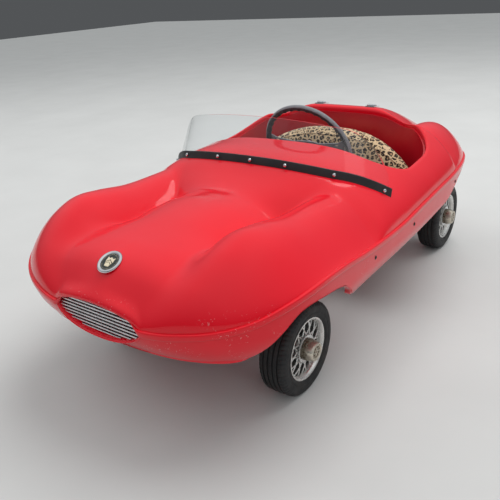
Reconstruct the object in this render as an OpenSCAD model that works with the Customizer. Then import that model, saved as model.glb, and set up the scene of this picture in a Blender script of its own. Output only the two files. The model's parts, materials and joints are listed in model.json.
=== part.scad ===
// Child's pedal car with a two-piece glass-fibre body on a tube chassis.
// Axes: +Z up, the car faces -Y, its left side is +X. The origin is on the ground below the middle.

/* [Body] */
// Length from nose to tail, over the moulded shell
body_length = 1326; // [1300:1:1340]
// Half of the width at the belt line
body_half_w = 336; // [330:1:345]
// Thickness of the glass-fibre mouldings
shell_t = 5; // [4:0.5:6]
// Height of the rounded rib that covers the joint of the two mouldings
rib_h = 13; // [11:1:15]
// How far the rib stands out of the side
rib_out = 5; // [4:0.5:7]

/* [Grille and badge] */
// Half of the width of the grille mouth
mouth_half_w = 110; // [100:1:116]
// Half of the height of the grille mouth
mouth_half_h = 31; // [27:1:34]
// Number of grille bars
bar_count = 9; // [7:1:11]
// Diameter of the nose badge
badge_d = 50; // [40:1:56]

/* [Cockpit] */
// Front edge of the cockpit opening
cockpit_front_y = -14; // [-20:1:-8]
// Rear edge of the cockpit opening
cockpit_rear_y = 282; // [274:1:288]
// Half of the width of the cockpit opening
cockpit_half_w = 286; // [278:1:290]
// Height of the clear windscreen above its strip
screen_h = 96; // [80:1:110]
// Lean of the windscreen towards the driver
screen_lean = 20; // [12:1:26]

/* [Steering] */
// Outer diameter of the steering wheel
steer_wheel_d = 252; // [240:1:260]
// Rake of the steering column above the horizontal
column_rake = 20; // [18:0.5:22]
// Largest turn of the front wheels each way
steer_lock = 22; // [15:1:22]

/* [Wheels] */
// Diameter of the tyres
wheel_d = 200; // [196:1:204]
// Width of the tyres
tyre_w = 62; // [56:1:62]
// Distance between the front and the rear axle
wheelbase = 834; // [828:1:838]
// Distance from the middle plane of the car to the middle of each tyre
half_track = 231; // [230:1:233]
// Pairs of crossed spokes in each wheel
spoke_pairs = 12; // [8:1:14]

/* [Drive] */
// Teeth on the pedal chainring
ring_teeth = 16; // [14:1:18]
// Teeth on the rear sprocket
sprocket_teeth = 12; // [11:1:13]
// Radius that the pedals turn on
crank_r = 55; // [45:1:58]

/* [Hidden] */

body_red = [0.75, 0.02, 0.05];
nose_y = -body_length / 2;
tail_y = body_length / 2;
front_axle_y = -360;
rear_axle_y = front_axle_y + wheelbase;
axle_z = wheel_d / 2;
fit_gap = 0.05;          // radial clearance of every running fit
axle_r = 6;

// ---------------------------------------------------------------- helpers
function clamp(t) = min(max(t, 0), 1);
function smooth(t) = let (u = clamp(t)) u * u * (3 - 2 * u);
// Smooth curve through hand-set points [y, value], level at both ends.
function slope_at(p, i) = (i == 0 || i == len(p) - 1) ? 0
    : (p[i + 1][1] - p[i - 1][1]) / (p[i + 1][0] - p[i - 1][0]);
function segment(p, y, i = 0) = (i >= len(p) - 2 || y <= p[i + 1][0]) ? i : segment(p, y, i + 1);
function along(p, y) = y <= p[0][0] ? p[0][1] : y >= p[len(p) - 1][0] ? p[len(p) - 1][1]
    : let (i = segment(p, y), h = p[i + 1][0] - p[i][0], t = (y - p[i][0]) / h)
      p[i][1] * (1 + 2 * t) * (1 - t) * (1 - t) + h * slope_at(p, i) * t * (1 - t) * (1 - t)
      + p[i + 1][1] * t * t * (3 - 2 * t) + h * slope_at(p, i + 1) * t * t * (t - 1);
function blend_max(a, b, k) = let (h = clamp(0.5 + (a - b) / (2 * k))) b + (a - b) * h + k * h * (1 - h);

// Closed solid over a grid of points: rows of equal length, front skin then back skin.
// With folded set, the two halves of the rows meet along the first and the last column.
module skin_solid(outer, inner, folded = false) {
    rows = len(outer);
    cols = len(outer[0]);
    n = rows * cols;
    function at(r, c) = (folded && (c == 0 || c == cols - 1) ? min(r, rows - 1 - r) : r) * cols + c;
    points = [for (row = outer) for (p = row) p, for (row = inner) for (p = row) p];
    faces = [
        for (r = [0:rows - 2]) for (c = [0:cols - 2]) each [
            [at(r, c), at(r + 1, c + 1), at(r, c + 1)], [at(r, c), at(r + 1, c), at(r + 1, c + 1)],
            [n + at(r, c), n + at(r, c + 1), n + at(r + 1, c + 1)],
            [n + at(r, c), n + at(r + 1, c + 1), n + at(r + 1, c)]],
        for (c = [0:cols - 2]) each [
            [at(0, c), n + at(0, c + 1), n + at(0, c)], [at(0, c), at(0, c + 1), n + at(0, c + 1)],
            [at(rows - 1, c), n + at(rows - 1, c), n + at(rows - 1, c + 1)],
            [at(rows - 1, c), n + at(rows - 1, c + 1), at(rows - 1, c + 1)]],
        if (!folded) for (r = [0:rows - 2]) each [
            [at(r, 0), n + at(r, 0), n + at(r + 1, 0)], [at(r, 0), n + at(r + 1, 0), at(r + 1, 0)],
            [at(r, cols - 1), n + at(r + 1, cols - 1), n + at(r, cols - 1)],
            [at(r, cols - 1), at(r + 1, cols - 1), n + at(r + 1, cols - 1)]]];
    polyhedron(points, faces, convexity = 6);
}

// Closed ring swept round a loop of sections, each a list of points.
module loop_solid(sections) {
    rows = len(sections);
    cols = len(sections[0]);
    points = [for (s = sections) for (p = s) p];
    faces = [for (r = [0:rows - 1]) for (c = [0:cols - 1])
        let (r2 = (r + 1) % rows, c2 = (c + 1) % cols) each [
            [r * cols + c, r2 * cols + c, r2 * cols + c2], [r * cols + c, r2 * cols + c2, r * cols + c2]]];
    polyhedron(points, faces, convexity = 6);
}

module tube_x(r, x0, x1) { translate([x0, 0, 0]) rotate([0, 90, 0]) cylinder(r = r, h = x1 - x0,
    $fn = 48); }
module box(lo, hi) { translate(lo) cube(hi - lo); }

// ---------------------------------------------------------------- body surface
// The plan outline is two superellipses with a straight side between them.
front_plan = [-360, nose_y, 2.9];   // where it starts, where it ends, exponent
rear_plan = [200, tail_y, 2.3];
// Profiles along the car: belt height, crown of the middle, crest of the wings, sill edge.
belt_profile = [[-663, 253], [-640, 262], [-580, 278], [-517, 294], [-435, 303], [-360, 301], [-280, 292],
    [-190, 286], [-80, 284], [30, 291], [165, 299], [300, 305], [430, 303], [560, 288], [663, 272]];
crown_profile = [[-663, 318], [-610, 349], [-560, 355], [-500, 359], [-420, 368], [-350, 373], [-300, 371],
    [-260, 371], [-215, 384], [-166, 405], [-110, 420], [-30, 424], [120, 436], [285, 452], [330, 446],
    [400, 424], [480, 394], [560, 366], [620, 345], [663, 330]];
crest_profile = [[-663, 352], [-600, 368], [-560, 384], [-530, 394], [-480, 403], [-425, 396], [-338, 382],
    [-235, 380], [-150, 381], [-60, 380], [60, 381], [180, 392], [270, 418], [330, 423], [400, 416],
    [450, 400], [520, 372], [600, 345], [663, 330]];
crest_x_profile = [[-663, 200], [-560, 222], [-400, 226], [-200, 232], [0, 236], [300, 240], [480,
    226], [663, 150]];
sill_profile = [[-663, 198], [-640, 198], [-585, 199], [-555, 222], [-530, 246], [-487, 272], [-410, 270],
    [-355, 259], [-325, 234], [-309, 204], [-288, 199], [-160, 206], [-50, 215], [158, 236], [215, 243],
    [270, 262], [330, 279], [474, 279], [570, 262], [620, 242], [663, 236]];
mouth_z = 253;
spine_inset = 120;     // how far inside the nose and the tail the middle line of the grid starts

function plan_x(plan, a) = body_half_w * pow(sin(a), 2 / plan[2]);
function plan_y(plan, a) = plan[0] + (plan[1] - plan[0]) * pow(cos(a), 2 / plan[2]);
// u runs from 0 at the nose to 3 at the tail; the left side has x > 0.
function outline(u) = u < 1 ? [plan_x(front_plan, 90 * u), plan_y(front_plan, 90 * u)]
    : u <= 2 ? [body_half_w, front_plan[0] + (u - 1) * (rear_plan[0] - front_plan[0])]
    : [plan_x(rear_plan, 90 * (3 - u)), plan_y(rear_plan, 90 * (3 - u))];
function spine_y(u) = u < 1 ? front_plan[1] + spine_inset + (front_plan[0] - front_plan[1]
    - spine_inset) * pow(u, 1.5)
    : u <= 2 ? front_plan[0] + (u - 1) * (rear_plan[0] - front_plan[0])
    : rear_plan[1] - spine_inset - (rear_plan[1] - rear_plan[0] - spine_inset) * pow(3 - u, 1.5);
function side_exponent(u) = u < 1 ? 2.2 + 2.3 * smooth(1.4 * u) : u <= 2 ? 4.5 : 2.6
    + 1.9 * smooth(1.4 * (3 - u));

// Height of the open mouth above or below the belt line, zero outside the mouth.
mouth_droop = 1.22;    // the lower lip of the mouth bows this much more than the upper lip
function mouth(x, y) = (y < -500 && abs(x) < mouth_half_w)
    ? mouth_half_h * sqrt(1 - pow(x / mouth_half_w, 2)) : 0;
// Top surface before it turns down to the belt: a crown, a wing crest and the sharp valley between.
function crown_half_w(y) = 128 + 150 * smooth((y + 290) / 130) + 80 * smooth((-430 - y) / 120);
function tail_part(y) = smooth((y - 262) / 50);
function crown_z(x, y) = let (s = abs(x) / crown_half_w(y)) along(crown_profile, y)
    - (1 - tail_part(y)) * (34 - 4 * smooth((y + 290) / 130)) * pow(s, 2.6) - tail_part(y)
    * 220 * pow(max(0, s - 0.32) / 0.68, 2);
function wing_z(x, y) = along(crest_profile, y)
    - 72 * pow(abs(abs(x) - along(crest_x_profile, y)) / 100, 2);
function valley_blend(y) = 8 + 19 * smooth((y + 260) / 110) * (1 - 0.5 * tail_part(y))
    + 26 * smooth((-440 - y) / 100);
function top_z(x, y) = blend_max(crown_z(x, y), wing_z(x, y), valley_blend(y));

// Point of the upper skin: v is 0 at the belt and 1 on the middle line; side is 1 or -1.
function skin_point(u, v, side, shrink = 0) = let (
    o = outline(u), s = [0, spine_y(u)], d = o - s, reach = norm(d),
    q = s + d * (1 - v) * (1 - shrink / reach), x = q[0], y = q[1],
    edge = along(belt_profile, o[1]) + mouth(o[0], o[1]),
    fall = sqrt(max(0, 1 - pow(1 - v, side_exponent(u)))))
    [side * x, y, edge + (top_z(x, y) - edge) * fall - shrink * (0.35 + 0.65 * fall) * (v > 0 ? 1 : 0)];
// Rows are crowded where the surface turns down to the belt.
v_rows = [0, 0.01, 0.04, 0.09, 0.16, 0.25, 0.35, 0.46, 0.58, 0.7, 0.85, 1];
// Columns are even along each arc and along the straight side.
u_cols = [for (i = [0:12]) i / 13, for (i = [0:10]) 1 + i / 11, for (i = [0:16]) 2 + i / 16];
function skin_grid(shrink) = [for (i = [0:2 * len(v_rows) - 2])
    let (side = i < len(v_rows) ? 1 : -1, v = v_rows[i < len(v_rows) ? i : 2 * len(v_rows) - 2 - i])
    [for (u = u_cols) skin_point(u, v, side, shrink)]];
function lift(grid, dz) = [for (row = grid) [for (p = row) [p[0], p[1], p[2] + dz]]];
module upper_skin() { skin_solid(skin_grid(0), skin_grid(shell_t), folded = true); }

// Height of the upper skin above any plan point, found on the grid line that passes over it.
function ray_miss(u, x, y) = let (o = outline(u), s = spine_y(u)) (y - s) * o[0] - x * (o[1] - s);
function find_u(x, y, lo = 0, hi = 3, k = 20) = let (m = (lo + hi) / 2)
    k == 0 ? m : ray_miss(m, x, y) > 0 ? find_u(x, y, m, hi, k - 1) : find_u(x, y, lo, m, k - 1);
function deck_z(x, y) = let (a = max(abs(x), 0.01), u = find_u(a, y), o = outline(u),
    edge = along(belt_profile, o[1]) + mouth(o[0], o[1]), v = clamp(1 - a / o[0]))
    edge + (top_z(a, y) - edge) * sqrt(max(0, 1 - pow(1 - v, side_exponent(u))));
// Everything under the upper moulding, down to a flat floor.
module under_body(floor_z, gap) {
    inner = lift(skin_grid(shell_t), -gap);
    skin_solid(inner, [for (row = inner) [for (p = row) [p[0], p[1], floor_z]]], folded = true);
}

// Outline points all the way round, as [x, y, u].
loop_u = concat([for (u = u_cols) [1, u]], [for (i = [len(u_cols) - 2:-1:1]) [-1, u_cols[i]]]);

// Direction that points out of the side at an outline point.
function outward(o) = let (nx = o[0] / body_half_w, n = [nx, (o[1] < 0 ? -1 : 1) * sqrt(max(0, 1
    - pow(nx, 3)))])
    n / norm(n);
// The rib's section as [distance out of the side, height]: it grips the upper moulding and only hangs over
// the edge of the lower one.
rib_overhang = 0.25;
function rib_section(out, h) = concat([for (a = [90:-36:0]) [out * cos(a) - 0.1, h * sin(a)]],
    [for (a = [-18:-36:-90]) [max(out * cos(a), rib_overhang), h * sin(a)]],
    [[rib_overhang, -0.3], [-3, -0.3], [-3, h * 0.9]]);
// Rounded bead outside the joint; it fades out at the two ends of the mouth.
module belt_rib() {
    loop_solid([for (k = loop_u) let (o = outline(k[1]), e = outward(o),
            f = o[1] > 0 ? 1 : smooth((o[0] - mouth_half_w + 22) / 26),
            z = along(belt_profile, o[1]) + (1 - f) * mouth(o[0], o[1]),
            out = rib_out * f, h = rib_h / 2 * f + 0.6 * (1 - f))
        [for (q = rib_section(out, h)) [k[0] * (o[0] + e[0] * q[0]), o[1] + e[1] * q[0], z + q[1]]]]);
}

// Closed plan outlines are lists of points that run anticlockwise seen from above.
function refine(pts, step) = [for (i = [0:len(pts) - 1])
    let (a = pts[i], b = pts[(i + 1) % len(pts)], k = max(1, ceil(norm(b - a) / step)))
    each [for (j = [0:k - 1]) a + (b - a) * j / k]];
cockpit_front_r = 92;
cockpit_rear_r = 128;
function corner_arc(x, y, r, from) = [for (a = [0:15:90]) [x + r * cos(from + a), y + r * sin(from + a)]];
function cockpit_outline(grow = 0) = let (w = cockpit_half_w + grow, y0 = cockpit_front_y - grow,
    y1 = cockpit_rear_y + grow, r0 = cockpit_front_r + grow, r1 = cockpit_rear_r + grow) concat(
    corner_arc(w - r0, y0 + r0, r0, -90), corner_arc(w - r1, y1 - r1, r1, 0),
    corner_arc(r1 - w, y1 - r1, r1, 90), corner_arc(r0 - w, y0 + r0, r0, 180));
lid_y0 = 312;
lid_length = 248;
lid_front_w = 122;
lid_rear_w = 100;
lid_front_r = 18;
lid_rear_r = 34;
lid_stations = concat([for (a = [0:30:90]) lid_front_r * (1 - cos(a))], [55, 95, 135, 175],
    [for (a = [90:-22.5:0]) lid_length - lid_rear_r * (1 - cos(a))]);
// Half of the lid's width at a distance t behind its front edge.
function lid_half_w(t) = lid_front_w - (lid_front_w - lid_rear_w) * t / lid_length
    - (t < lid_front_r ? lid_front_r - sqrt(pow(lid_front_r, 2) - pow(lid_front_r - t, 2)) : 0)
    - (t > lid_length - lid_rear_r ? lid_rear_r - sqrt(pow(lid_rear_r, 2) - pow(lid_rear_r
    - lid_length + t, 2)) : 0);
function lid_outline() = concat([for (t = lid_stations) [lid_half_w(t), lid_y0 + t]],
    [for (i = [len(lid_stations) - 1:-1:0]) [-lid_half_w(lid_stations[i]), lid_y0 + lid_stations[i]]]);
function normal_at(pts, i) = let (n = len(pts), d = pts[(i + 1) % n] - pts[(i + n - 1) % n]) [d[1],
    -d[0]] / norm(d);
function grown(pts, d) = [for (i = [0:len(pts) - 1]) pts[i] + d * normal_at(pts, i)];
// A moulding swept round an outline: its section holds [distance outside the outline, height above the deck].
module deck_moulding(pts, section) {
    loop_solid([for (i = [0:len(pts) - 1]) let (n = normal_at(pts, i))
        [for (q = section) let (p = pts[i] + q[0] * n) [p[0], p[1], deck_z(p[0], p[1]) + q[1]]]]);
}
module tall(z0 = 150, z1 = 520) { translate([0, 0, z0]) linear_extrude(z1 - z0) children(); }

lid_gap = 3.2;
module upper_body() {
    rim = refine(cockpit_outline(), 45);
    gutter = refine(lid_outline(), 45);
    color(body_red) resize([0, 0, 0]) union() {
        difference() {
            union() { upper_skin(); belt_rib(); }
            tall() polygon(rim);
            tall() polygon(grown(gutter, lid_gap));
            badge_place() translate([0, 0, -2]) cylinder(r = badge_d / 2 + 0.6, h = 30, $fn = 32);
        }
        // rolled rim of the cockpit
        deck_moulding(rim, [[5, -0.4], [5, -4.5], [2.4, -5.5], [2.4, -14], [-1.6, -14], [-1.6, -1.6],
            [-0.4, 0.8], [2.4, 1.2]]);
        // gutter that the boot lid lies in
        deck_moulding(gutter, [[8, -3], [8, -12.5], [-8, -12.5], [-8, -9], [lid_gap + 1.8, -9],
            [lid_gap + 1.8, -3]]);
        // seat of the badge
        badge_place() translate([0, 0, -5]) cylinder(r = badge_d / 2 + 3, h = 3.2, $fn = 32);
    }
}

// Lower moulding: from the belt down to the sill, with the arches cut by the sill line.
lower_rows = [0, 0.25, 0.5, 0.75, 1];
function lower_point(k, t, inset) = let (o = outline(k[1]), top = along(belt_profile, o[1])
    - mouth_droop * mouth(o[0], o[1]) - 0.6,
    low = along(sill_profile, o[1]), z = top + (low - top) * t, e = outward(o),
    tuck = 22 * pow(clamp((mouth_z - z) / 50), 2))
    [k[0] * max(0, o[0] - e[0] * (tuck + inset)), o[1] - e[1] * (tuck + inset), z];
module lower_body() {
    color(body_red) loop_solid([for (k = loop_u) concat(
        [for (t = lower_rows) lower_point(k, t, 0)],
        [lower_point(k, 1, 14) + [0, 0, 3], lower_point(k, 1, 14) + [0, 0, 6]],
        [for (i = [len(lower_rows) - 1:-1:0]) lower_point(k, lower_rows[i], shell_t) + [0, 0,
            i == 4 ? 6 : 0]])]);
}

// ---------------------------------------------------------------- cockpit and seat
tub_floor_z = 180;
module cockpit_tub() {
    color(body_red * 0.8) resize([0, 0, 0]) intersection() {
        under_body(150, 15);
        union() {
            // side panels and the bulkhead behind the seat
            tall(tub_floor_z, 470) difference() {
                polygon(cockpit_outline(-2.2));
                polygon(cockpit_outline(-6.2));
                translate([-400, -200]) square([800, 186 + cockpit_front_r]);
            }
            // seat pan
            tall(tub_floor_z - 4, tub_floor_z) intersection() {
                polygon(cockpit_outline(-2.2));
                translate([-400, 62]) square([800, 300]);
            }
            // lip at the front of the seat pan, notched where the chain passes below
            box([-cockpit_half_w + 30, 62, tub_floor_z - 22], [chain_x - 14, 66, tub_floor_z]);
            box([chain_x + 14, 62, tub_floor_z - 22], [cockpit_half_w - 30, 66, tub_floor_z]);
        }
    }
}

seat_half_w = 238;
module seat_base() {
    color([0.72, 0.62, 0.48]) hull() {
        for (sx = [-1, 1]) for (y = [92, 226]) translate([sx * (seat_half_w - 40), y, tub_floor_z + 0.4])
            cylinder(r = 22, h = 8, $fn = 24);
        for (sx = [-1, 1]) for (y = [100, 218]) translate([sx * (seat_half_w - 46), y, tub_floor_z + 10])
            cylinder(r = 20, h = 24, $fn = 24);
    }
}
// The back cushion is an arch that leans on the bulkhead.
seat_top_z = 410;
function seat_arch(x) = seat_top_z - 84 * pow(abs(x) / seat_half_w, 2.4);
seat_foot_z = 218;
module seat_back() {
    xs = [for (i = [-10:10]) seat_half_w * sin(9 * i)];
    function front(x, z) = [x, 168 + 40 * clamp((z - seat_foot_z) / 180) - 14 * (1
        - pow(x / seat_half_w, 2)), z];
    function back(x, z) = [x, 222 + 30 * clamp((z - seat_foot_z) / 180) - 26 * pow(x / seat_half_w, 4), z];
    color([0.72, 0.62, 0.48]) skin_solid(
        [for (t = [1, 0.93, 0.8, 0.5, 0.12, 0]) [for (x = xs) let (z = seat_foot_z + (seat_arch(x)
            - seat_foot_z) * t)
            front(x, z) + [0, (t == 1 || t == 0) ? 14 : 0, 0]]],
        [for (t = [1, 0.93, 0.8, 0.5, 0.12, 0]) [for (x = xs) let (z = seat_foot_z + (seat_arch(x)
            - seat_foot_z) * t)
            back(x, z) - [0, (t == 1 || t == 0) ? 10 : 0, 0]]]);
}

// ---------------------------------------------------------------- boot lid and hinges
module boot_lid() {
    across = [1, 0.92, 0.84, 0.56, 0.28, 0, -0.28, -0.56, -0.84, -0.92, -1];
    // A tray turned upside down: thin in the middle with a deeper edge.
    function depth(s, t) = (abs(s) > 0.9 || t < 8 || t > lid_length - 8) ? 8.4 : 4;
    color(body_red) skin_solid(
        [for (s = across) [for (t = lid_stations) let (x = s * lid_half_w(t), y = lid_y0 + t) [x, y,
            deck_z(x, y) - 0.6]]],
        [for (s = across) [for (t = lid_stations) let (x = s * lid_half_w(t), y = lid_y0 + t)
            [x, y, deck_z(x, y) - depth(s, t)]]]);
}
hinge_x = 79;
hinge_y = lid_y0 - 3;
hinge_r = 3.4;
hinge_axis_z = deck_z(hinge_x, hinge_y) + hinge_r + 0.3;
hinge_leaf_w = 26;
module at_hinges() { for (sx = [-1, 1]) translate([sx * hinge_x, hinge_y, hinge_axis_z]) children(); }
// One leaf: a plate that lies just above the deck and knuckles round the pin.
module hinge_leaf(length, knuckles, tilt) {
    drop = hinge_r - 0.2;
    difference() {
        union() {
            rotate([tilt, 0, 0]) translate([-hinge_leaf_w / 2, 3.9, -drop]) cube([hinge_leaf_w,
                length - 3.9, 2]);
            for (k = knuckles) tube_x(hinge_r, k[0], k[1]);
            for (k = knuckles) rotate([tilt, 0, 0]) translate([k[0] + 0.2, 0, -drop])
                cube([k[1] - k[0] - 0.4, 4.4, drop + 0.4]);
        }
        tube_x(1.5 + fit_gap, -hinge_leaf_w, hinge_leaf_w);
    }
}
module lid_hinge_moving_leaves() {
    color("silver") at_hinges() hinge_leaf(21, [[-12.8, -4.6], [4.6, 12.8]], -9);
}
module lid_hinge_fixed_leaves() {
    color("silver") at_hinges() mirror([0, 1, 0]) hinge_leaf(15, [[-4.2, 4.2]], 5);
}
module lid_hinge_pins() { color("silver") at_hinges() tube_x(1.5, -14, 14); }

// Dark screws along the rib and beside the cockpit.
screw_places = [[1.25, -24], [1.62, -26], [2.08, -26]];
module body_screws() {
    color([0.08, 0.08, 0.08]) for (s = screw_places) for (side = [1, -1])
        let (o = outline(s[0])) translate([side * (o[0] - 0.6), o[1], along(belt_profile, o[1]) + s[1]])
            rotate([0, side * 90, 0]) body_screw();
}
module body_screw() {
    difference() {
        union() {
            intersection() { translate([0, 0, -4.6]) sphere(r = 7, $fn = 32); cylinder(r = 4.6, h = 4,
                $fn = 32); }
            translate([0, 0, -9]) cylinder(r = 1.8, h = 10, $fn = 24);
        }
        translate([-5, -0.5, 1.3]) cube([10, 1, 3]);
    }
}

// ---------------------------------------------------------------- nose
badge_y = -608;
module badge_place() { translate([0, badge_y, top_skin_z(badge_y)]) rotate([28, 0, 0]) children(); }
function top_skin_z(y) = let (v = (y - front_plan[1]) / spine_inset, edge = mouth_z + mouth_half_h)
    edge + (crown_z(0, y) - edge) * sqrt(1 - pow(1 - clamp(v), side_exponent(0)));
module nose_badge_bezel() {
    color("silver") badge_place() difference() {
        rotate_extrude($fn = 64) polygon([[badge_d / 2 - 7, -1.4], [badge_d / 2, -1.4], [badge_d / 2, 0.6],
            [badge_d / 2 - 1.2, 2.2], [badge_d / 2 - 3, 2.8], [badge_d / 2 - 4.6, 2.2], [badge_d / 2
                - 5.4, 1.2],
            [badge_d / 2 - 7, 1.2]]);
    }
}
// Enamel disc with a plain five-point shield emblem.
module nose_badge_face() {
    color([0.1, 0.12, 0.12]) badge_place() union() {
        translate([0, 0, -1.4]) cylinder(r = badge_d / 2 - 7.1, h = 2.2, $fn = 64);
        translate([0, 0, 0.8]) linear_extrude(1) polygon([[-9, 7], [-4, 9.5], [0, 7.5], [4, 9.5], [9,
            7], [8, -2],
            [4.5, -8], [0, -11], [-4.5, -8], [-8, -2]]);
    }
}

bar_pitch = (1 + mouth_droop) * mouth_half_h / (bar_count + 0.6);
grille_mid_z = mouth_z + (1 - mouth_droop) / 2 * mouth_half_h;
grille_foot_z = mouth_z - mouth_droop * mouth_half_h - 4;
bar_t = 3.4;
bar_depth = 14;
grille_y = nose_y + 9;
function bar_half_w(z) = (mouth_half_w + 3)
    * sqrt(max(0, 1 - pow((z - mouth_z) / ((z < mouth_z ? mouth_droop : 1) * mouth_half_h + 3), 2)));
module grille_bars() {
    color([0.6, 0.61, 0.62]) for (i = [0:bar_count - 1])
        let (z = grille_mid_z + (i - (bar_count - 1) / 2) * bar_pitch, w = bar_half_w(z))
            box([-w, grille_y, z - bar_t / 2], [w, grille_y + bar_depth, z + bar_t / 2]);
}
fin_count = 26;
fin_pitch = 7;
fin_t = 1.8;
module grille_struts() {
    color([0.12, 0.12, 0.12]) {
        // upright fins behind the bars, on one rail with two feet
        for (i = [0:fin_count - 1]) let (x = (i - (fin_count - 1) / 2) * fin_pitch)
            box([x - fin_t / 2, grille_y + bar_depth, grille_foot_z],
                [x + fin_t / 2, grille_y + bar_depth + 3,
                    mouth_z + (mouth_half_h + 1) * sqrt(1 - pow(x / 112, 2))]);
        box([-92, grille_y + bar_depth + 3, grille_foot_z],
            [92, grille_y + bar_depth + 6, grille_foot_z + 12]);
        for (sx = [-1, 1]) box([sx * 84 - 8, grille_y + bar_depth + 6, grille_foot_z],
            [sx * 84 + 8, grille_y + bar_depth + 40, grille_foot_z + 3]);
    }
}

// ---------------------------------------------------------------- windscreen
screen_half_w = 306;
function strip_y(x) = -167 + 87 * pow(abs(x) / screen_half_w, 4);
strip_h = 17;
strip_t = 4;
screen_xs = [for (i = [-14:14]) screen_half_w * sin(i * 90 / 14) * 0.35 + screen_half_w * i / 14 * 0.65];
function strip_up(t) = [0, t * 0.30, t * 0.954];      // the strip leans with the glass
module windscreen_strip() {
    color([0.09, 0.09, 0.1]) skin_solid(
        [for (t = [-1, strip_h]) [for (x = screen_xs) [x, strip_y(x) - strip_t / 2, deck_z(x,
            strip_y(x))] + strip_up(t)]],
        [for (t = [-1, strip_h]) [for (x = screen_xs) [x * 0.995, strip_y(x) + strip_t / 2, deck_z(x,
            strip_y(x))] + strip_up(t)]]);
}
glass_t = 2.5;
// Height of the glass falls to nothing at its ends through a rounded corner.
function glass_h(x) = screen_h * pow(1 - pow(clamp((abs(x) - 215) / (screen_half_w - 217)), 3), 0.42);
function glass_point(x, t, dy) = let (h = glass_h(x) * t, y0 = strip_y(x) + strip_t / 2 + 3.2)
    [x * (1 - 0.09 * h / screen_h), y0 + dy + 3 * t + h * tan(screen_lean) * (1 - 0.4 * pow(abs(x)
        / screen_half_w, 2)),
     deck_z(x, strip_y(x)) + 3 + h + (x * x) * 0.00004 * t];
module windscreen() {
    rows = [0, 0.18, 0.4, 0.65, 0.85, 1];
    glass_xs = [for (x = screen_xs) x * 0.97];
    color([0.9, 0.95, 0.98, 0.3]) skin_solid(
        [for (t = rows) [for (x = glass_xs) glass_point(x, t, 0)]],
        [for (t = rows) [for (x = glass_xs) glass_point(x, t, glass_t)]]);
}
screw_xs = [-296, -206, -94, 0, 94, 206, 296];
module windscreen_screws() {
    color("silver") for (x = screw_xs) let (y = strip_y(x), face = atan(4 * 87 * pow(abs(x)
        / screen_half_w, 3) / screen_half_w))
        translate([x, y - strip_t / 2 - 0.4, deck_z(x, y) + strip_h / 2]) rotate([90 - 17, 0,
            (x < 0 ? -1 : 1) * face])
            rotate_extrude($fn = 32) polygon([[0, -1.2], [4.2, -1.2], [4.2, 0.4], [3.4, 2], [2, 2.9],
                [0, 3.3]]);
}

// ---------------------------------------------------------------- steering
wheel_hub_at = [0, 92, 378];
// Local frame of the column: +Z runs up the column to the driver, +Y points down across it.
module column_frame() { translate(wheel_hub_at) rotate([column_rake - 90, 0, 0]) children(); }
function column_z(y) = wheel_hub_at[2] - (wheel_hub_at[1] - y) * tan(column_rake);
function column_s(y) = -(wheel_hub_at[1] - y) / cos(column_rake);
kingpin_x = 178;
arm_len = 75;
rod_y = front_axle_y + arm_len;
rod_z = axle_z - 10;
arm_ahead = 17;         // how far ahead of the track rod's fork the drop arm swings
column_foot_y = -364;
lower_bearing_y = -352;
rim_tube_r = 8;

module steering_wheel_rim() {
    color([0.3, 0.3, 0.32]) column_frame() rotate_extrude($fn = 96)
        translate([steer_wheel_d / 2 - rim_tube_r, 0]) circle(r = rim_tube_r, $fn = 32);
}
module spoke_outline(reach) {
    polygon([[-20, -20], [20, -20], [34, -16], [reach - 14, -26], [reach + 1, -34], [reach + 2, 30],
        [reach - 16, 16],
        [34, 12], [20, 22], [-20, 22]]);
}
module steering_wheel_spokes() {
    reach = steer_wheel_d / 2 - 2 * rim_tube_r - 1;
    color([0.45, 0.45, 0.47]) column_frame() difference() {
        union() {
            translate([0, 0, -1.5]) linear_extrude(3) intersection() {
                difference() {
                    union() {
                        spoke_outline(reach);
                        mirror([1, 0]) spoke_outline(reach);
                        polygon([[-16, 0], [16, 0], [20, reach], [-20, reach]]);
                    }
                    for (sx = [-1, 1]) for (k = [-1, 0, 1])
                        translate([sx * (reach - 24), 17 * k - 4]) circle(r = 3.6, $fn = 24);
                }
                circle(r = reach - 0.3, $fn = 96);
            }
            translate([0, 0, -26]) cylinder(r = 17, h = 26, $fn = 48);
            translate([0, 0, 0]) cylinder(r = 22, h = 4, $fn = 48);
        }
        translate([0, 0, -30]) cylinder(r = axle_r + fit_gap, h = 40, $fn = 48);
    }
}
module steering_wheel_cap() {
    color("silver") column_frame() translate([0, 0, 4]) difference() {
        rotate_extrude($fn = 64) polygon([[0, 0], [20, 0], [20, 3], [18, 7], [13, 10.5], [6, 12], [0,
            12.4]]);
        translate([0, 0, -1]) cylinder(r = axle_r + 1, h = 6, $fn = 48);
    }
}
module steering_column() {
    color([0.15, 0.15, 0.16]) column_frame() union() {
        translate([0, 0, column_s(column_foot_y)]) cylinder(r = axle_r, h = 6
            - column_s(column_foot_y), $fn = 48);
        // drop arm, set ahead of the fork, and the peg that reaches back through it
        translate([0, 0, column_s(rod_y - arm_len * sin(column_rake)) - arm_ahead]) union() {
            translate([-8, 0, -3]) cube([16, arm_len, 6]);
            translate([0, arm_len, -3]) cylinder(r = 8.5, h = 6, $fn = 48);
            translate([0, 0, -5]) cylinder(r = 11, h = 10, $fn = 48);
            translate([0, arm_len, -2]) cylinder(r = 4, h = arm_ahead + 11, $fn = 48);
        }
    }
}
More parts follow.
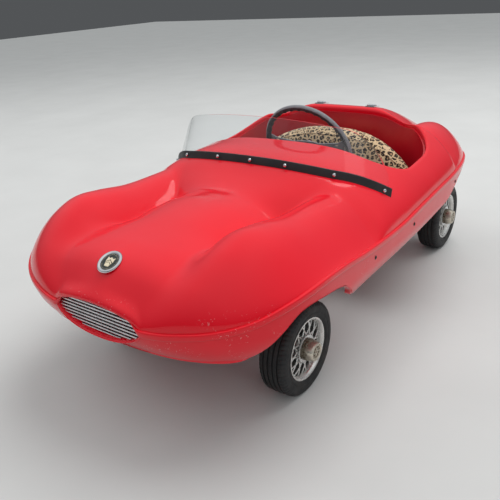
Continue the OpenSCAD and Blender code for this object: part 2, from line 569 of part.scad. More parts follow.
// A split bush on the column, drawn about the point of the column at y.
module column_bush(y, len) {
    column_frame() translate([0, 0, column_s(y)]) cylinder(r = 12, h = len, center = true, $fn = 48);
}
module column_hole(y, len) {
    column_frame() translate([0, 0, column_s(y)]) cylinder(r = axle_r + fit_gap, h = len,
        center = true, $fn = 48);
}
module dash_bracket() {
    y = -62;
    color([0.2, 0.2, 0.2]) difference() {
        union() {
            box([-46, y - 2, column_z(y)], [46, y + 2, 412]);
            box([-46, y - 2, 409], [46, y + 26, 412]);
            column_bush(y, 24);
        }
        column_hole(y, 60);
    }
}
module column_lower_bracket() {
    y = lower_bearing_y;
    color([0.2, 0.2, 0.2]) difference() {
        union() {
            box([-18, y - 2, rail_top_z + 8], [18, y + 2, column_z(y)]);
            box([-18, y - 10, rail_top_z + 8], [18, y + 10, rail_top_z + 11]);
            column_bush(y, 16);
        }
        column_hole(y, 50);
    }
}
module track_rod() {
    color([0.25, 0.25, 0.26]) difference() {
        union() {
            translate([0, rod_y, rod_z]) tube_x(4.4, -kingpin_x, kingpin_x);
            for (sx = [-1, 1]) translate([sx * kingpin_x, rod_y, rod_z - 5]) cylinder(r = 9, h = 10,
                $fn = 48);
            box([-12, rod_y - 5.5, rod_z - 5.5], [12, rod_y + 5.5, rod_z + 8]);
            // open fork that the peg of the drop arm runs in
            for (sx = [-1, 1]) box([sx < 0 ? -11 : 4.6, rod_y - 4, rod_z], [sx < 0 ? -4.6 : 11, rod_y
                + 4, rod_z + 83]);
        }
        for (sx = [-1, 1]) translate([sx * kingpin_x, rod_y, rod_z - 20]) cylinder(r = 4 + fit_gap,
            h = 40, $fn = 48);
    }
}
module stub_axle() {
    color([0.25, 0.25, 0.26]) difference() {
        union() {
            translate([kingpin_x, front_axle_y, axle_z - 22]) cylinder(r = 11, h = 44, $fn = 48);
            translate([0, front_axle_y, axle_z]) tube_x(axle_r, kingpin_x + 7, 268);
            translate([0, front_axle_y, axle_z]) tube_x(10, 188, 196);
            box([kingpin_x - 8, front_axle_y, axle_z], [kingpin_x + 8, rod_y, axle_z + 6]);
            translate([kingpin_x, rod_y, axle_z]) cylinder(r = 9, h = 6, $fn = 48);
            translate([kingpin_x, rod_y, rod_z - 8]) cylinder(r = 4, h = 20, $fn = 48);
        }
        translate([kingpin_x, front_axle_y, axle_z - 40]) cylinder(r = 5 + fit_gap, h = 80, $fn = 48);
    }
}
module stub_axle_left() { stub_axle(); }
module stub_axle_right() { mirror([1, 0, 0]) stub_axle(); }
module kingpins() {
    color("silver") for (sx = [-1, 1]) translate([sx * kingpin_x, front_axle_y, axle_z]) union() {
        translate([0, 0, -36]) cylinder(r = 5, h = 68, $fn = 48);
        translate([0, 0, 30.2]) cylinder(r = 8, h = 5, $fn = 6);
    }
}
module front_axle_beam() {
    color([0.12, 0.12, 0.12]) union() {
        translate([0, front_axle_y, axle_z]) cube([296, 24, 24], center = true);
        for (side = [0, 1]) mirror([side, 0, 0]) difference() {
            union() {
                box([146, front_axle_y - 13, axle_z - 30], [152, front_axle_y + 13, axle_z + 30]);
                for (dz = [-30, 24]) box([146, front_axle_y - 13, axle_z + dz], [kingpin_x,
                    front_axle_y + 13, axle_z + dz + 6]);
                for (dz = [-30, 24]) translate([kingpin_x, front_axle_y, axle_z + dz]) cylinder(r = 13,
                    h = 6, $fn = 48);
            }
            translate([kingpin_x, front_axle_y, axle_z - 40]) cylinder(r = 5 + fit_gap, h = 80, $fn = 48);
        }
    }
}

// ---------------------------------------------------------------- chassis
rail_x = 105;
rail_front_y = -400;
rail_bottom_z = axle_z + 12;
rail_top_z = rail_bottom_z + 30;
module rail() {
    color([0.12, 0.12, 0.12]) difference() {
        box([rail_x - 9, rail_front_y, rail_bottom_z], [rail_x + 9, 610, rail_top_z]);
        box([rail_x - 7, rail_front_y - 1, rail_bottom_z + 2], [rail_x + 7, 611, rail_top_z - 2]);
    }
}
module chassis_rail_left() { rail(); }
module chassis_rail_right() { mirror([1, 0, 0]) rail(); }
module cross_bar(y) { color([0.12, 0.12, 0.12]) box([-rail_x - 9, y - 12, rail_top_z], [rail_x + 9, y
    + 12, rail_top_z + 8]); }
module cross_member_front() { cross_bar(lower_bearing_y); }
module cross_member_middle() { cross_bar(110); }
module cross_member_rear() { cross_bar(560); }
// Place of each outrigger along the car, and how far its end stays inside the outline there.
outriggers = [[-386, 19], [-228, 27], [300, 19], [596, 23]];
function plan_half(y) = y < front_plan[0]
    ? body_half_w * pow(1 - pow((front_plan[0] - y) / (front_plan[0] - front_plan[1]), front_plan[2]),
        1 / front_plan[2])
    : y > rear_plan[0] ? body_half_w * pow(1 - pow((y - rear_plan[0]) / (rear_plan[1] - rear_plan[0]),
        rear_plan[2]), 1 / rear_plan[2])
    : body_half_w;
// Each climbs beside its rail and reaches out to the sill flange, hidden behind the sill.
module body_outriggers() {
    color([0.12, 0.12, 0.12]) for (o = outriggers) for (side = [0, 1]) mirror([side, 0, 0])
        let (y = o[0], z = along(sill_profile, y) + 7, x = plan_half(y) - o[1]) union() {
            box([rail_x + 9, y - 7, rail_bottom_z + 4], [rail_x + 14, y + 7, z + 4]);
            box([rail_x + 9, y - 7, z], [x, y + 7, z + 4]);
        }
}

// ---------------------------------------------------------------- pedals and drive
crank_y = -190;
crank_z = 160;
chain_x = 84;
chain_pitch = 12.7;
roller_r = 4;
function pitch_r(teeth) = chain_pitch / (2 * sin(180 / teeth));
web_t = 6;
web_x = 68;
module pedal_crank() {
    color([0.3, 0.3, 0.32]) translate([0, crank_y, crank_z]) union() {
        tube_x(axle_r, web_x, rail_x + 8);
        tube_x(axle_r, -rail_x - 8, -web_x - 10);
        box([web_x, -crank_r, -8], [web_x + web_t, 0, 8]);
        box([-web_x - 10 - web_t, 0, -8], [-web_x - 10, crank_r, 8]);
        for (x = [web_x, -web_x - 10 - web_t]) tube_at(x, 0);
        for (p = [[web_x, -crank_r], [-web_x - 10 - web_t, crank_r], [-3, crank_r], [-3, -crank_r]])
            tube_at(p[0], p[1]);
        box([-3, -crank_r, -8], [3, crank_r, 8]);
        translate([0, -crank_r, 0]) tube_x(5, 3, web_x);
        translate([0, crank_r, 0]) tube_x(5, -web_x - 10, -3);
    }
}
module tube_at(x, y) { translate([0, y, 0]) tube_x(8, x, x + web_t); }
module pedal(x0, x1, y) {
    color([0.08, 0.08, 0.08]) translate([0, y, crank_z]) difference() {
        union() {
            tube_x(9.5, x0, x1);
            for (dy = [-18, 18]) translate([0, dy, 0]) tube_x(7, x0, x1);
            box([x0, -18, -4], [x1, 18, 4]);
        }
        tube_x(5 + fit_gap, x0 - 5, x1 + 5);
    }
}
module pedal_left() { pedal(9, web_x - 5, crank_y - crank_r); }
module pedal_right() { pedal(-web_x - 5, -9, crank_y + crank_r); }
module crank_hangers() {
    color([0.15, 0.15, 0.16]) for (sx = [-1, 1]) difference() {
        union() {
            box([sx * rail_x - 4, crank_y - 16, rail_top_z], [sx * rail_x + 4, crank_y + 16, crank_z]);
            translate([sx * rail_x, crank_y, crank_z]) tube_x(16, -4, 4);
        }
        translate([sx * rail_x, crank_y, crank_z]) tube_x(axle_r + fit_gap, -10, 10);
    }
}
module toothed_wheel(teeth, hub_r) {
    r = pitch_r(teeth);
    rotate([0, 90, 0]) translate([0, 0, -1.5]) difference() {
        union() {
            linear_extrude(3) difference() {
                circle(r = r - 5, $fn = 96);
                for (i = [0:teeth - 1]) rotate(i * 360 / teeth) translate([r, 0]) circle(r = 5.8, $fn = 24);
            }
            translate([0, 0, -4]) cylinder(r = hub_r, h = 11, $fn = 48);
        }
        translate([0, 0, -10]) cylinder(r = axle_r + fit_gap, h = 30, $fn = 48);
    }
}
module chainring() {
    color("silver") translate([chain_x, crank_y, crank_z]) toothed_wheel(ring_teeth, 13);
}
module rear_sprocket() {
    color("silver") translate([chain_x, rear_axle_y, axle_z]) toothed_wheel(sprocket_teeth, 11);
}
module chain_outline(grow) {
    hull() {
        translate([crank_y, crank_z]) circle(r = pitch_r(ring_teeth) + grow, $fn = 64);
        translate([rear_axle_y, axle_z]) circle(r = pitch_r(sprocket_teeth) + grow, $fn = 64);
    }
}
module drive_chain() {
    color([0.35, 0.33, 0.3]) translate([chain_x - 3.5, 0, 0]) rotate([90, 0, 90]) linear_extrude(7)
        difference() {
        chain_outline(roller_r);
        chain_outline(-roller_r);
    }
}
module rear_axle() {
    color("silver") translate([0, rear_axle_y, axle_z]) union() {
        tube_x(axle_r, -268, 268);
        for (x = [-196, 188]) tube_x_from(10, x, 8);
    }
}
module tube_x_from(r, x, len) { tube_x(r, x, x + len); }
module rear_axle_hangers() {
    color([0.15, 0.15, 0.16]) for (sx = [-1, 1]) difference() {
        union() {
            box([sx * rail_x - 4, rear_axle_y - 16, axle_z], [sx * rail_x + 4, rear_axle_y + 16,
                rail_bottom_z]);
            translate([sx * rail_x, rear_axle_y, axle_z]) tube_x(11.5, -4, 4);
            box([sx * rail_x - 9, rear_axle_y - 24, rail_bottom_z - 3], [sx * rail_x + 9, rear_axle_y
                + 24, rail_bottom_z]);
        }
        translate([sx * rail_x, rear_axle_y, axle_z]) tube_x(axle_r + fit_gap, -10, 10);
    }
}

// ---------------------------------------------------------------- road wheels
// Each is drawn about its own axis with +Z outward, then stood up at its corner.
rim_r = 67;
rim_face = 27;          // outer face of the rim from the middle plane of the tyre
spoke_ring_r = 58;
hub_ring_r = 30;
cap_r = 23;
module corner(front, side) {
    mirror([side < 0 ? 1 : 0, 0, 0]) translate([half_track, front ? front_axle_y : rear_axle_y, axle_z])
        rotate([0, 90, 0]) children();
}
module tyre() {
    w = tyre_w / 2;
    r = wheel_d / 2;
    groove = 2.6;
    color([0.05, 0.05, 0.05]) rotate_extrude($fn = 96) polygon(concat(
        [[rim_r - 4, -w + 6], [rim_r + 2, -w + 2], [rim_r + 9, -w], [r - 14, -w + 0.6], [r - 5, -w
            + 3.5], [r - 1, -w + 8]],
        [for (x = [-16, -5.4, 5.4, 16]) each [[r, x - 2], [r - 3, x - groove / 2], [r - 3, x
            + groove / 2], [r, x + 2]]],
        [[r - 1, w - 8], [r - 5, w - 3.5], [r - 14, w - 0.6], [rim_r + 9, w], [rim_r + 2, w - 2],
            [rim_r + 0.3, w - 3], [rim_r + 0.3, rim_face - 2.1], [rim_r - 4, rim_face - 3.4]]));
}
module rim() {
    color("silver") union() {
        rotate_extrude($fn = 96) polygon([[spoke_ring_r - 1, -24], [rim_r - 4.3, -24], [rim_r - 4.3,
            rim_face - 3],
            [rim_r, rim_face - 1.8], [rim_r, rim_face], [rim_r - 4, rim_face + 0.6], [spoke_ring_r
                + 0.5, rim_face - 9],
            [spoke_ring_r - 1, rim_face - 13]]);
        // solid web behind the moulded spokes
        translate([0, 0, 3]) difference() {
            cylinder(r = spoke_ring_r - 0.5, h = 3, $fn = 96);
            translate([0, 0, -1]) cylinder(r = hub_ring_r - 6, h = 5, $fn = 96);
        }
        translate([0, 0, 12]) linear_extrude(4) union() {
            difference() { circle(r = spoke_ring_r + 1, $fn = 96); circle(r = spoke_ring_r - 3, $fn = 96); }
            difference() { circle(r = hub_ring_r + 2, $fn = 96); circle(r = hub_ring_r - 6, $fn = 96); }
            for (i = [0:spoke_pairs - 1]) for (lean = [-1, 1]) rotate(i * 360 / spoke_pairs)
                crossed_spoke(lean * spoke_lean_hub, lean * spoke_lean_rim);
        }
    }
}
// One straight spoke that starts off to one side on the hub ring and ends off to the other side on the rim.
spoke_lean_hub = 156 / spoke_pairs;
spoke_lean_rim = 84 / spoke_pairs;
module crossed_spoke(hub_lean, rim_lean) {
    a = [hub_ring_r * cos(hub_lean), -hub_ring_r * sin(hub_lean)];
    b = [(spoke_ring_r - 1) * cos(rim_lean), (spoke_ring_r - 1) * sin(rim_lean)];
    d = b - a;
    translate(a) rotate(atan2(d[1], d[0])) translate([0, -1.5]) square([norm(d), 3]);
}
module hub(bore_gap) {
    color([0.5, 0.5, 0.5]) difference() {
        union() {
            translate([0, 0, -34.5]) cylinder(r = 11, h = 64.5, $fn = 48);
            translate([0, 0, 16.2]) cylinder(r = hub_ring_r, h = 8, $fn = 72);
            translate([0, 0, 8]) cylinder(r = hub_ring_r - 6.4, h = 9, $fn = 72);
            translate([0, 0, -34.5]) cylinder(r = 16, h = 5, $fn = 48);
        }
        translate([0, 0, -50]) cylinder(r = axle_r + bore_gap, h = 100, $fn = 48);
    }
}
module cap() {
    color([0.7, 0.55, 0.3]) difference() {
        rotate_extrude($fn = 72) polygon([[0, 38.5], [11.6, 38.5], [11.6, 24.4], [cap_r, 24.4], [cap_r,
            31], [cap_r - 1.5, 38],
            [cap_r - 3, 45], [cap_r - 4.5, 48], [cap_r - 6, 48.4], [cap_r - 7, 46.8], [0, 46.8]]);
    }
}
module tyre_front_left() { corner(true, 1) tyre(); }
module rim_front_left() { corner(true, 1) rim(); }
module hub_front_left() { corner(true, 1) hub(fit_gap); }
module cap_front_left() { corner(true, 1) cap(); }
module tyre_front_right() { corner(true, -1) tyre(); }
module rim_front_right() { corner(true, -1) rim(); }
module hub_front_right() { corner(true, -1) hub(fit_gap); }
module cap_front_right() { corner(true, -1) cap(); }
module tyre_rear_left() { corner(false, 1) tyre(); }
module rim_rear_left() { corner(false, 1) rim(); }
module hub_rear_left() { corner(false, 1) hub(fit_gap); }
module cap_rear_left() { corner(false, 1) cap(); }
module tyre_rear_right() { corner(false, -1) tyre(); }
module rim_rear_right() { corner(false, -1) rim(); }
module hub_rear_right() { corner(false, -1) hub(fit_gap); }
module cap_rear_right() { corner(false, -1) cap(); }

upper_body();
lower_body();
cockpit_tub();
seat_base();
seat_back();
boot_lid();
lid_hinge_fixed_leaves();
lid_hinge_moving_leaves();
lid_hinge_pins();
body_screws();
grille_bars();
grille_struts();
nose_badge_bezel();
nose_badge_face();
windscreen();
windscreen_strip();
windscreen_screws();
steering_wheel_rim();
steering_wheel_spokes();
steering_wheel_cap();
steering_column();
dash_bracket();
column_lower_bracket();
track_rod();
stub_axle_left();
stub_axle_right();
kingpins();
front_axle_beam();
chassis_rail_left();
chassis_rail_right();
cross_member_front();
cross_member_middle();
cross_member_rear();
body_outriggers();
pedal_crank();
crank_hangers();
chainring();
drive_chain();
rear_sprocket();
pedal_left();
pedal_right();
rear_axle();
rear_axle_hangers();
tyre_front_left();
rim_front_left();
hub_front_left();
cap_front_left();
tyre_front_right();
rim_front_right();
hub_front_right();
cap_front_right();
tyre_rear_left();
rim_rear_left();
hub_rear_left();
cap_rear_left();
tyre_rear_right();
rim_rear_right();
hub_rear_right();
cap_rear_right();
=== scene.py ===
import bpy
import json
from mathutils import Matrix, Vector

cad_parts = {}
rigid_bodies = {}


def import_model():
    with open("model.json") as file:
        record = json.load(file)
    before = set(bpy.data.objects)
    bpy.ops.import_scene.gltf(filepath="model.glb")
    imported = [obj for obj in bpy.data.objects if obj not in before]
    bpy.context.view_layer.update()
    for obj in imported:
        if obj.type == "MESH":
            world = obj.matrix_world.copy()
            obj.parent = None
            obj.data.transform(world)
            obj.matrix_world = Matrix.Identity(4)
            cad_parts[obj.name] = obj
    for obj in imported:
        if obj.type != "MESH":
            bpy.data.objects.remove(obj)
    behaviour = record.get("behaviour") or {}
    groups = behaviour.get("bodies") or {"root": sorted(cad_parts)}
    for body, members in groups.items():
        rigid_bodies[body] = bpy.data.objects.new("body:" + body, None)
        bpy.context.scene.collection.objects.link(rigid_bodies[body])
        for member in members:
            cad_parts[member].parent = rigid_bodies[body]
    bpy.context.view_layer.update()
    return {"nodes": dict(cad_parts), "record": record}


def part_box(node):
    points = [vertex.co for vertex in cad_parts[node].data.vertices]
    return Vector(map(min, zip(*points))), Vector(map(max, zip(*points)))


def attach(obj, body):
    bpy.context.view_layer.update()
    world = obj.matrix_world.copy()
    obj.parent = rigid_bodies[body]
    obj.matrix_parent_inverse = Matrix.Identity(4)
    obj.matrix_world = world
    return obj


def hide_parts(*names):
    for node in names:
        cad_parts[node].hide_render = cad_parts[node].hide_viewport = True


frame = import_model()

import json
import math

import bmesh
import bpy
import numpy as np
from mathutils import Matrix, Vector
from mathutils.bvhtree import BVHTree

MM = 0.001
PI = math.pi


def box_mm(node):
    """Lower and upper corner of a CAD node, in millimetres."""
    return [np.array(corner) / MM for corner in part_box(node)]


# ---------------------------------------------------------------- materials
class Shader:
    """A node material: a Principled surface whose inputs are fed by noise on the object's own coordinates."""

    def __init__(self, name):
        self.material = bpy.data.materials.new(name)
        self.material.use_nodes = True
        self.nodes = self.material.node_tree.nodes
        self.links = self.material.node_tree.links
        self.nodes.clear()
        self.out = self.nodes.new("ShaderNodeOutputMaterial")
        self.bsdf = self.nodes.new("ShaderNodeBsdfPrincipled")
        self.links.new(self.bsdf.outputs[0], self.out.inputs[0])
        self.coords = self.nodes.new("ShaderNodeTexCoord").outputs["Object"]

    def put(self, socket, value):
        if isinstance(value, bpy.types.NodeSocket):
            self.links.new(value, socket)
        else:
            socket.default_value = value

    def node(self, kind, inputs=None, **settings):
        made = self.nodes.new(kind)
        for key, value in settings.items():
            setattr(made, key, value)
        for key, value in (inputs or {}).items():
            self.put(made.inputs[key], value)
        return made

    def math(self, operation, a, b=0.0, clamp=False):
        return self.node("ShaderNodeMath", {0: a, 1: b}, operation=operation, use_clamp=clamp).outputs[0]

    def mix(self, factor, a, b, blend="MIX"):
        made = self.node("ShaderNodeMix", {0: factor}, data_type="RGBA", blend_type=blend)
        self.put(made.inputs[6], a if isinstance(a, bpy.types.NodeSocket) else (*a[:3], 1))
        self.put(made.inputs[7], b if isinstance(b, bpy.types.NodeSocket) else (*b[:3], 1))
        return made.outputs[2]

    def noise(self, scale, detail=3.0, coords=None, distortion=0.0):
        return self.node("ShaderNodeTexNoise", {"Vector": coords or self.coords, "Scale": scale, "Detail": detail,
                         "Distortion": distortion}).outputs["Fac"]

    def span(self, value, lo, hi, to_lo=0.0, to_hi=1.0):
        return self.node("ShaderNodeMapRange", {"Value": value, "From Min": lo, "From Max": hi, "To Min": to_lo,
                         "To Max": to_hi}).outputs[0]

    def bump(self, height, strength, distance=0.001):
        made = self.node("ShaderNodeBump", {"Height": height, "Strength": strength, "Distance": distance})
        self.links.new(made.outputs[0], self.bsdf.inputs["Normal"])
        return made


def finish_of(name, color, rough=0.5, metal=0.0, tone=0.18, tone_scale=25.0, rough_span=0.1, bump=0.05,
              bump_scale=400.0, dirt=0.0, dirt_color=(0.09, 0.075, 0.055), **inputs):
    """A worn surface: tone and gloss drift, a fine bump breaks the highlight and dirt settles in patches."""
    s = Shader(name)
    drift = s.span(s.noise(tone_scale, 4.0), 0.3, 0.7)
    base = s.mix(drift, [c * (1 - tone) for c in color], [min(1.0, c * (1 + tone)) for c in color])
    if dirt:
        patches = s.span(s.noise(tone_scale * 0.7, 6.0, distortion=0.6), 0.45, 0.7, 0.0, dirt)
        base = s.mix(patches, base, dirt_color)
    s.put(s.bsdf.inputs["Base Color"], base)
    s.put(s.bsdf.inputs["Metallic"], metal)
    s.put(s.bsdf.inputs["Roughness"], s.span(s.noise(tone_scale * 2.3, 5.0), 0.3, 0.7, max(0.02, rough - rough_span),
                                             rough + rough_span))
    if bump:
        s.bump(s.noise(bump_scale, 4.0), bump)
    for key, value in inputs.items():
        s.put(s.bsdf.inputs[key.replace("_", " ")], value)
    return s.material


def paint(name, color, gloss=0.85):
    """Red gel coat: lacquer over a very slightly uneven colour, with faint ripples, dust and small pale chips."""
    s = Shader(name)
    drift = s.span(s.noise(3.0, 3.0), 0.3, 0.7)
    base = s.mix(drift, [c * 0.93 for c in color], [min(1, c * 1.05) for c in color])
    place = s.node("ShaderNodeSeparateXYZ", {"Vector": s.coords})
    low = s.span(place.outputs["Z"], 0.26, 0.31, 1.0, 0.0)
    front = s.span(place.outputs["Y"], -0.5, -0.2, 1.0, 0.0)
    chip = s.span(s.noise(210.0, 5.0, distortion=1.2), 0.655, 0.675)
    chip = s.math("MULTIPLY", chip, s.span(s.noise(11.0, 2.0), 0.52, 0.6))
    chip = s.math("MULTIPLY", chip, s.math("MULTIPLY", low, front), clamp=True)
    base = s.mix(chip, base, (0.62, 0.36, 0.36))
    s.put(s.bsdf.inputs["Base Color"], base)
    s.put(s.bsdf.inputs["Roughness"], s.span(s.noise(14.0, 5.0), 0.3, 0.7, 0.36, 0.46))
    s.put(s.bsdf.inputs["Coat Weight"], gloss)
    s.put(s.bsdf.inputs["Coat Roughness"], s.span(s.noise(9.0, 6.0), 0.3, 0.75, 0.03, 0.10))
    s.put(s.bsdf.inputs["Coat IOR"], 1.42)
    s.put(s.bsdf.inputs["Specular IOR Level"], 0.12)
    ripple = s.math("ADD", s.math("MULTIPLY", s.noise(7.0, 1.0), 0.8),
                    s.math("MULTIPLY", s.noise(160.0, 2.0), 0.02))
    made = s.bump(ripple, 0.25, 0.002)
    s.links.new(made.outputs[0], s.bsdf.inputs["Coat Normal"])
    return s.material


def leopard(name):
    """Short pile with a printed leopard pattern: dark broken rosettes with a tan middle on a pale tan ground."""
    s = Shader(name)
    wobble = s.node("ShaderNodeTexNoise", {"Vector": s.coords, "Scale": 90.0, "Detail": 2.0}).outputs["Color"]
    bent = s.node("ShaderNodeVectorMath", {0: wobble, 1: (0.5, 0.5, 0.5)}, operation="SUBTRACT").outputs[0]
    bent = s.node("ShaderNodeVectorMath", {0: bent, 3: 0.007}, operation="SCALE").outputs[0]
    at = s.node("ShaderNodeVectorMath", {0: s.coords, 1: bent}, operation="ADD").outputs[0]
    cell = s.node("ShaderNodeTexVoronoi", {"Vector": at, "Scale": 74.0, "Randomness": 0.85}, feature="F1")
    away = cell.outputs["Distance"]
    gap = s.node("ShaderNodeTexVoronoi", {"Vector": at, "Scale": 74.0, "Randomness": 0.85},
                 feature="DISTANCE_TO_EDGE").outputs["Distance"]
    spot = s.span(gap, 0.09, 0.14)
    hollow = s.span(away, 0.16, 0.24, 1.0, 0.0)
    breaks = s.span(s.noise(230.0, 2.0), 0.62, 0.68)
    dark = s.math("MULTIPLY", spot, s.math("SUBTRACT", 1.0, breaks), clamp=True)
    ground = s.mix(s.noise(35.0, 3.0), (0.50, 0.34, 0.18), (0.70, 0.53, 0.34))
    middle = s.mix(s.noise(60.0, 3.0), (0.30, 0.17, 0.08), (0.44, 0.27, 0.14))
    mark = s.mix(hollow, (0.022, 0.014, 0.010), middle)
    s.put(s.bsdf.inputs["Base Color"], s.mix(dark, ground, mark))
    s.put(s.bsdf.inputs["Roughness"], s.span(s.noise(300.0), 0.3, 0.7, 0.75, 0.95))
    s.put(s.bsdf.inputs["Sheen Weight"], 0.25)
    s.put(s.bsdf.inputs["Sheen Roughness"], 0.4)
    s.bump(s.noise(1400.0, 3.0), 0.5, 0.0006)
    return s.material


def clear_sheet(name):
    """Acrylic: clear, with fine wiping marks, and it lets light through to what stands behind it."""
    s = Shader(name)
    s.put(s.bsdf.inputs["Base Color"], s.mix(s.noise(6.0, 3.0), (0.90, 0.93, 0.94), (0.97, 0.98, 0.98)))
    s.put(s.bsdf.inputs["Transmission Weight"], 1.0)
    s.put(s.bsdf.inputs["IOR"], 1.38)
    s.put(s.bsdf.inputs["Roughness"], s.span(s.noise(40.0, 6.0, distortion=2.0), 0.5, 0.8, 0.0, 0.06))
    path = s.node("ShaderNodeLightPath")
    through = s.node("ShaderNodeBsdfTransparent", {"Color": (0.93, 0.95, 0.96, 1)})
    blend = s.node("ShaderNodeMixShader", {0: path.outputs["Is Shadow Ray"], 1: s.bsdf.outputs[0],
                                           2: through.outputs[0]})
    s.links.new(blend.outputs[0], s.out.inputs[0])
    return s.material


def relief_and_shade_metal(name, high, low, rough, metal=1.0):
    """Metal darker where the height stored on each point of the mesh is low: the hollows of the badge and
    medallions, and on the wheel caps' cups a ramp along the cup that is painted shade at its foot.
    """
    s = Shader(name)
    height = s.node("ShaderNodeAttribute", attribute_name="relief").outputs["Fac"]
    patchy = s.math("ADD", height, s.span(s.noise(300.0, 4.0), 0.3, 0.7, -0.2, 0.2))
    s.put(s.bsdf.inputs["Base Color"], s.mix(s.span(patchy, 0.1, 0.8), low, high))
    s.put(s.bsdf.inputs["Metallic"], metal)
    s.put(s.bsdf.inputs["Roughness"], s.span(s.noise(90.0, 4.0), 0.3, 0.7, rough - 0.08, rough + 0.12))
    s.bump(s.noise(900.0, 3.0), 0.08, 0.0005)
    return s.material


RED = (0.72, 0.0022, 0.014)
looks = {
    "body_red": paint("body_red", RED),
    # tub_red is the body's red made darker: painted shade for the inside of the cockpit.
    "tub_red": finish_of("tub_red", (0.50, 0.004, 0.014), rough=0.38, tone=0.12, tone_scale=9, dirt=0.06,
                         Coat_Weight=0.4, Coat_Roughness=0.2),
    "leopard_cloth": leopard("leopard_cloth"),
    "chrome_trim": finish_of("chrome_trim", (0.74, 0.74, 0.76), rough=0.14, metal=1.0, tone=0.08, rough_span=0.07,
                             dirt=0.15),
    "black_screw": finish_of("black_screw", (0.02, 0.02, 0.02), rough=0.4, metal=0.6, dirt=0.2),
    "grille_alloy": finish_of("grille_alloy", (0.80, 0.80, 0.81), rough=0.26, metal=1.0, tone=0.1, tone_scale=60,
                              dirt=0.12),
    "black_enamel_steel": finish_of("black_enamel_steel", (0.02, 0.02, 0.021), rough=0.42, tone=0.3, dirt=0.35),
    "badge_enamel": relief_and_shade_metal("badge_enamel", (0.72, 0.62, 0.44), (0.014, 0.02, 0.02), 0.3, metal=0.0),
    "clear_acrylic": clear_sheet("clear_acrylic"),
    "black_strip": finish_of("black_strip", (0.016, 0.016, 0.018), rough=0.45, tone=0.3, dirt=0.08),
    "grey_plastic": finish_of("grey_plastic", (0.13, 0.13, 0.145), rough=0.5, tone=0.15, bump=0.15, bump_scale=900,
                              dirt=0.1),
    "bare_steel": finish_of("bare_steel", (0.42, 0.42, 0.43), rough=0.36, metal=1.0, dirt=0.45,
                            dirt_color=(0.10, 0.06, 0.035)),
    "pedal_rubber": finish_of("pedal_rubber", (0.022, 0.022, 0.022), rough=0.75, dirt=0.3, bump=0.3, bump_scale=500),
    "tyre_rubber": finish_of("tyre_rubber", (0.012, 0.012, 0.013), rough=0.66, tone=0.25, tone_scale=30, dirt=0.5,
                             dirt_color=(0.035, 0.029, 0.023), bump=0.35, bump_scale=700),
    "wheel_alloy": finish_of("wheel_alloy", (0.74, 0.73, 0.71), rough=0.3, metal=1.0, tone=0.12, tone_scale=45,
                             dirt=0.2, dirt_color=(0.12, 0.10, 0.08)),
    "hub_alloy": finish_of("hub_alloy", (0.68, 0.68, 0.67), rough=0.28, metal=1.0, tone=0.1, dirt=0.25),
    # On each cap's cup the darker tone is painted shade towards the hub.
    "cap_gold": relief_and_shade_metal("cap_gold", (0.72, 0.66, 0.56), (0.16, 0.12, 0.08), 0.34),
}
grip_dark = finish_of("grip_dark", (0.035, 0.035, 0.04), rough=0.55, bump=0.2, bump_scale=900)
# Matt black for the grille's struts; on the disc behind each wheel's spokes it is painted shade.
matt_black_and_shade = finish_of("matt_black_and_shade", (0.02, 0.02, 0.02), rough=0.7, dirt=0.3)


# ---------------------------------------------------------------- meshes
def grid_faces(rows, cols, wrap_rows=False, wrap_cols=False, first=0):
    """Quads of a grid of points whose last row or column may join the first."""
    r, c = np.meshgrid(np.arange(rows if wrap_rows else rows - 1), np.arange(cols if wrap_cols else cols - 1),
                       indexing="ij")
    r2, c2 = (r + 1) % rows, (c + 1) % cols
    quads = np.stack([r * cols + c, r * cols + c2, r2 * cols + c2, r2 * cols + c], -1)
    return (quads.reshape(-1, 4) + first).tolist()


def piece(name, points, faces, body, slot, stands_for=(), angle=38, look=None, relief=None, weld=True):
    """A mesh in the car's frame, from points in millimetres; it moves with a body and stands for CAD nodes."""
    mesh = bpy.data.meshes.new(name)
    mesh.from_pydata((np.asarray(points, float).reshape(-1, 3) * MM).tolist(), [], [list(f) for f in faces])
    if relief is not None:
        stored = mesh.attributes.new("relief", "FLOAT", "POINT").data
        stored.foreach_set("value", np.asarray(relief, np.float32).ravel())
    work = bmesh.new()
    work.from_mesh(mesh)
    if weld:
        bmesh.ops.remove_doubles(work, verts=work.verts, dist=2e-6)
        bmesh.ops.recalc_face_normals(work, faces=work.faces)
    work.to_mesh(mesh)
    work.free()
    obj = bpy.data.objects.new(name, mesh)
    bpy.context.scene.collection.objects.link(obj)
    return settle(obj, body, slot, stands_for, angle, look)


def settle(obj, body, slot, stands_for=(), angle=38, look=None):
    """Gives a piece its shading, the finish of its slot and its body, and hides the CAD nodes it stands for."""
    obj.data.shade_smooth()
    obj.data.set_sharp_from_angle(angle=math.radians(angle))
    obj.data.materials.clear()
    obj.data.materials.append(look or looks[slot])
    if obj.parent is None:
        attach(obj, body)
    if stands_for:
        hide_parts(*([stands_for] if isinstance(stands_for, str) else stands_for))
    return obj


def baked(obj):
    """The object's mesh with its modifiers applied."""
    graph = bpy.context.evaluated_depsgraph_get()
    mesh = bpy.data.meshes.new_from_object(obj.evaluated_get(graph))
    obj.modifiers.clear()
    obj.data = mesh
    return obj


def loft(rows):
    """Closed sections, one row each, skinned to a bar with flat ends."""
    n = rows.shape[1]
    faces = grid_faces(len(rows), n, False, True)
    return rows.reshape(-1, 3), faces + [list(range(n)), [(len(rows) - 1) * n + i for i in range(n)]]


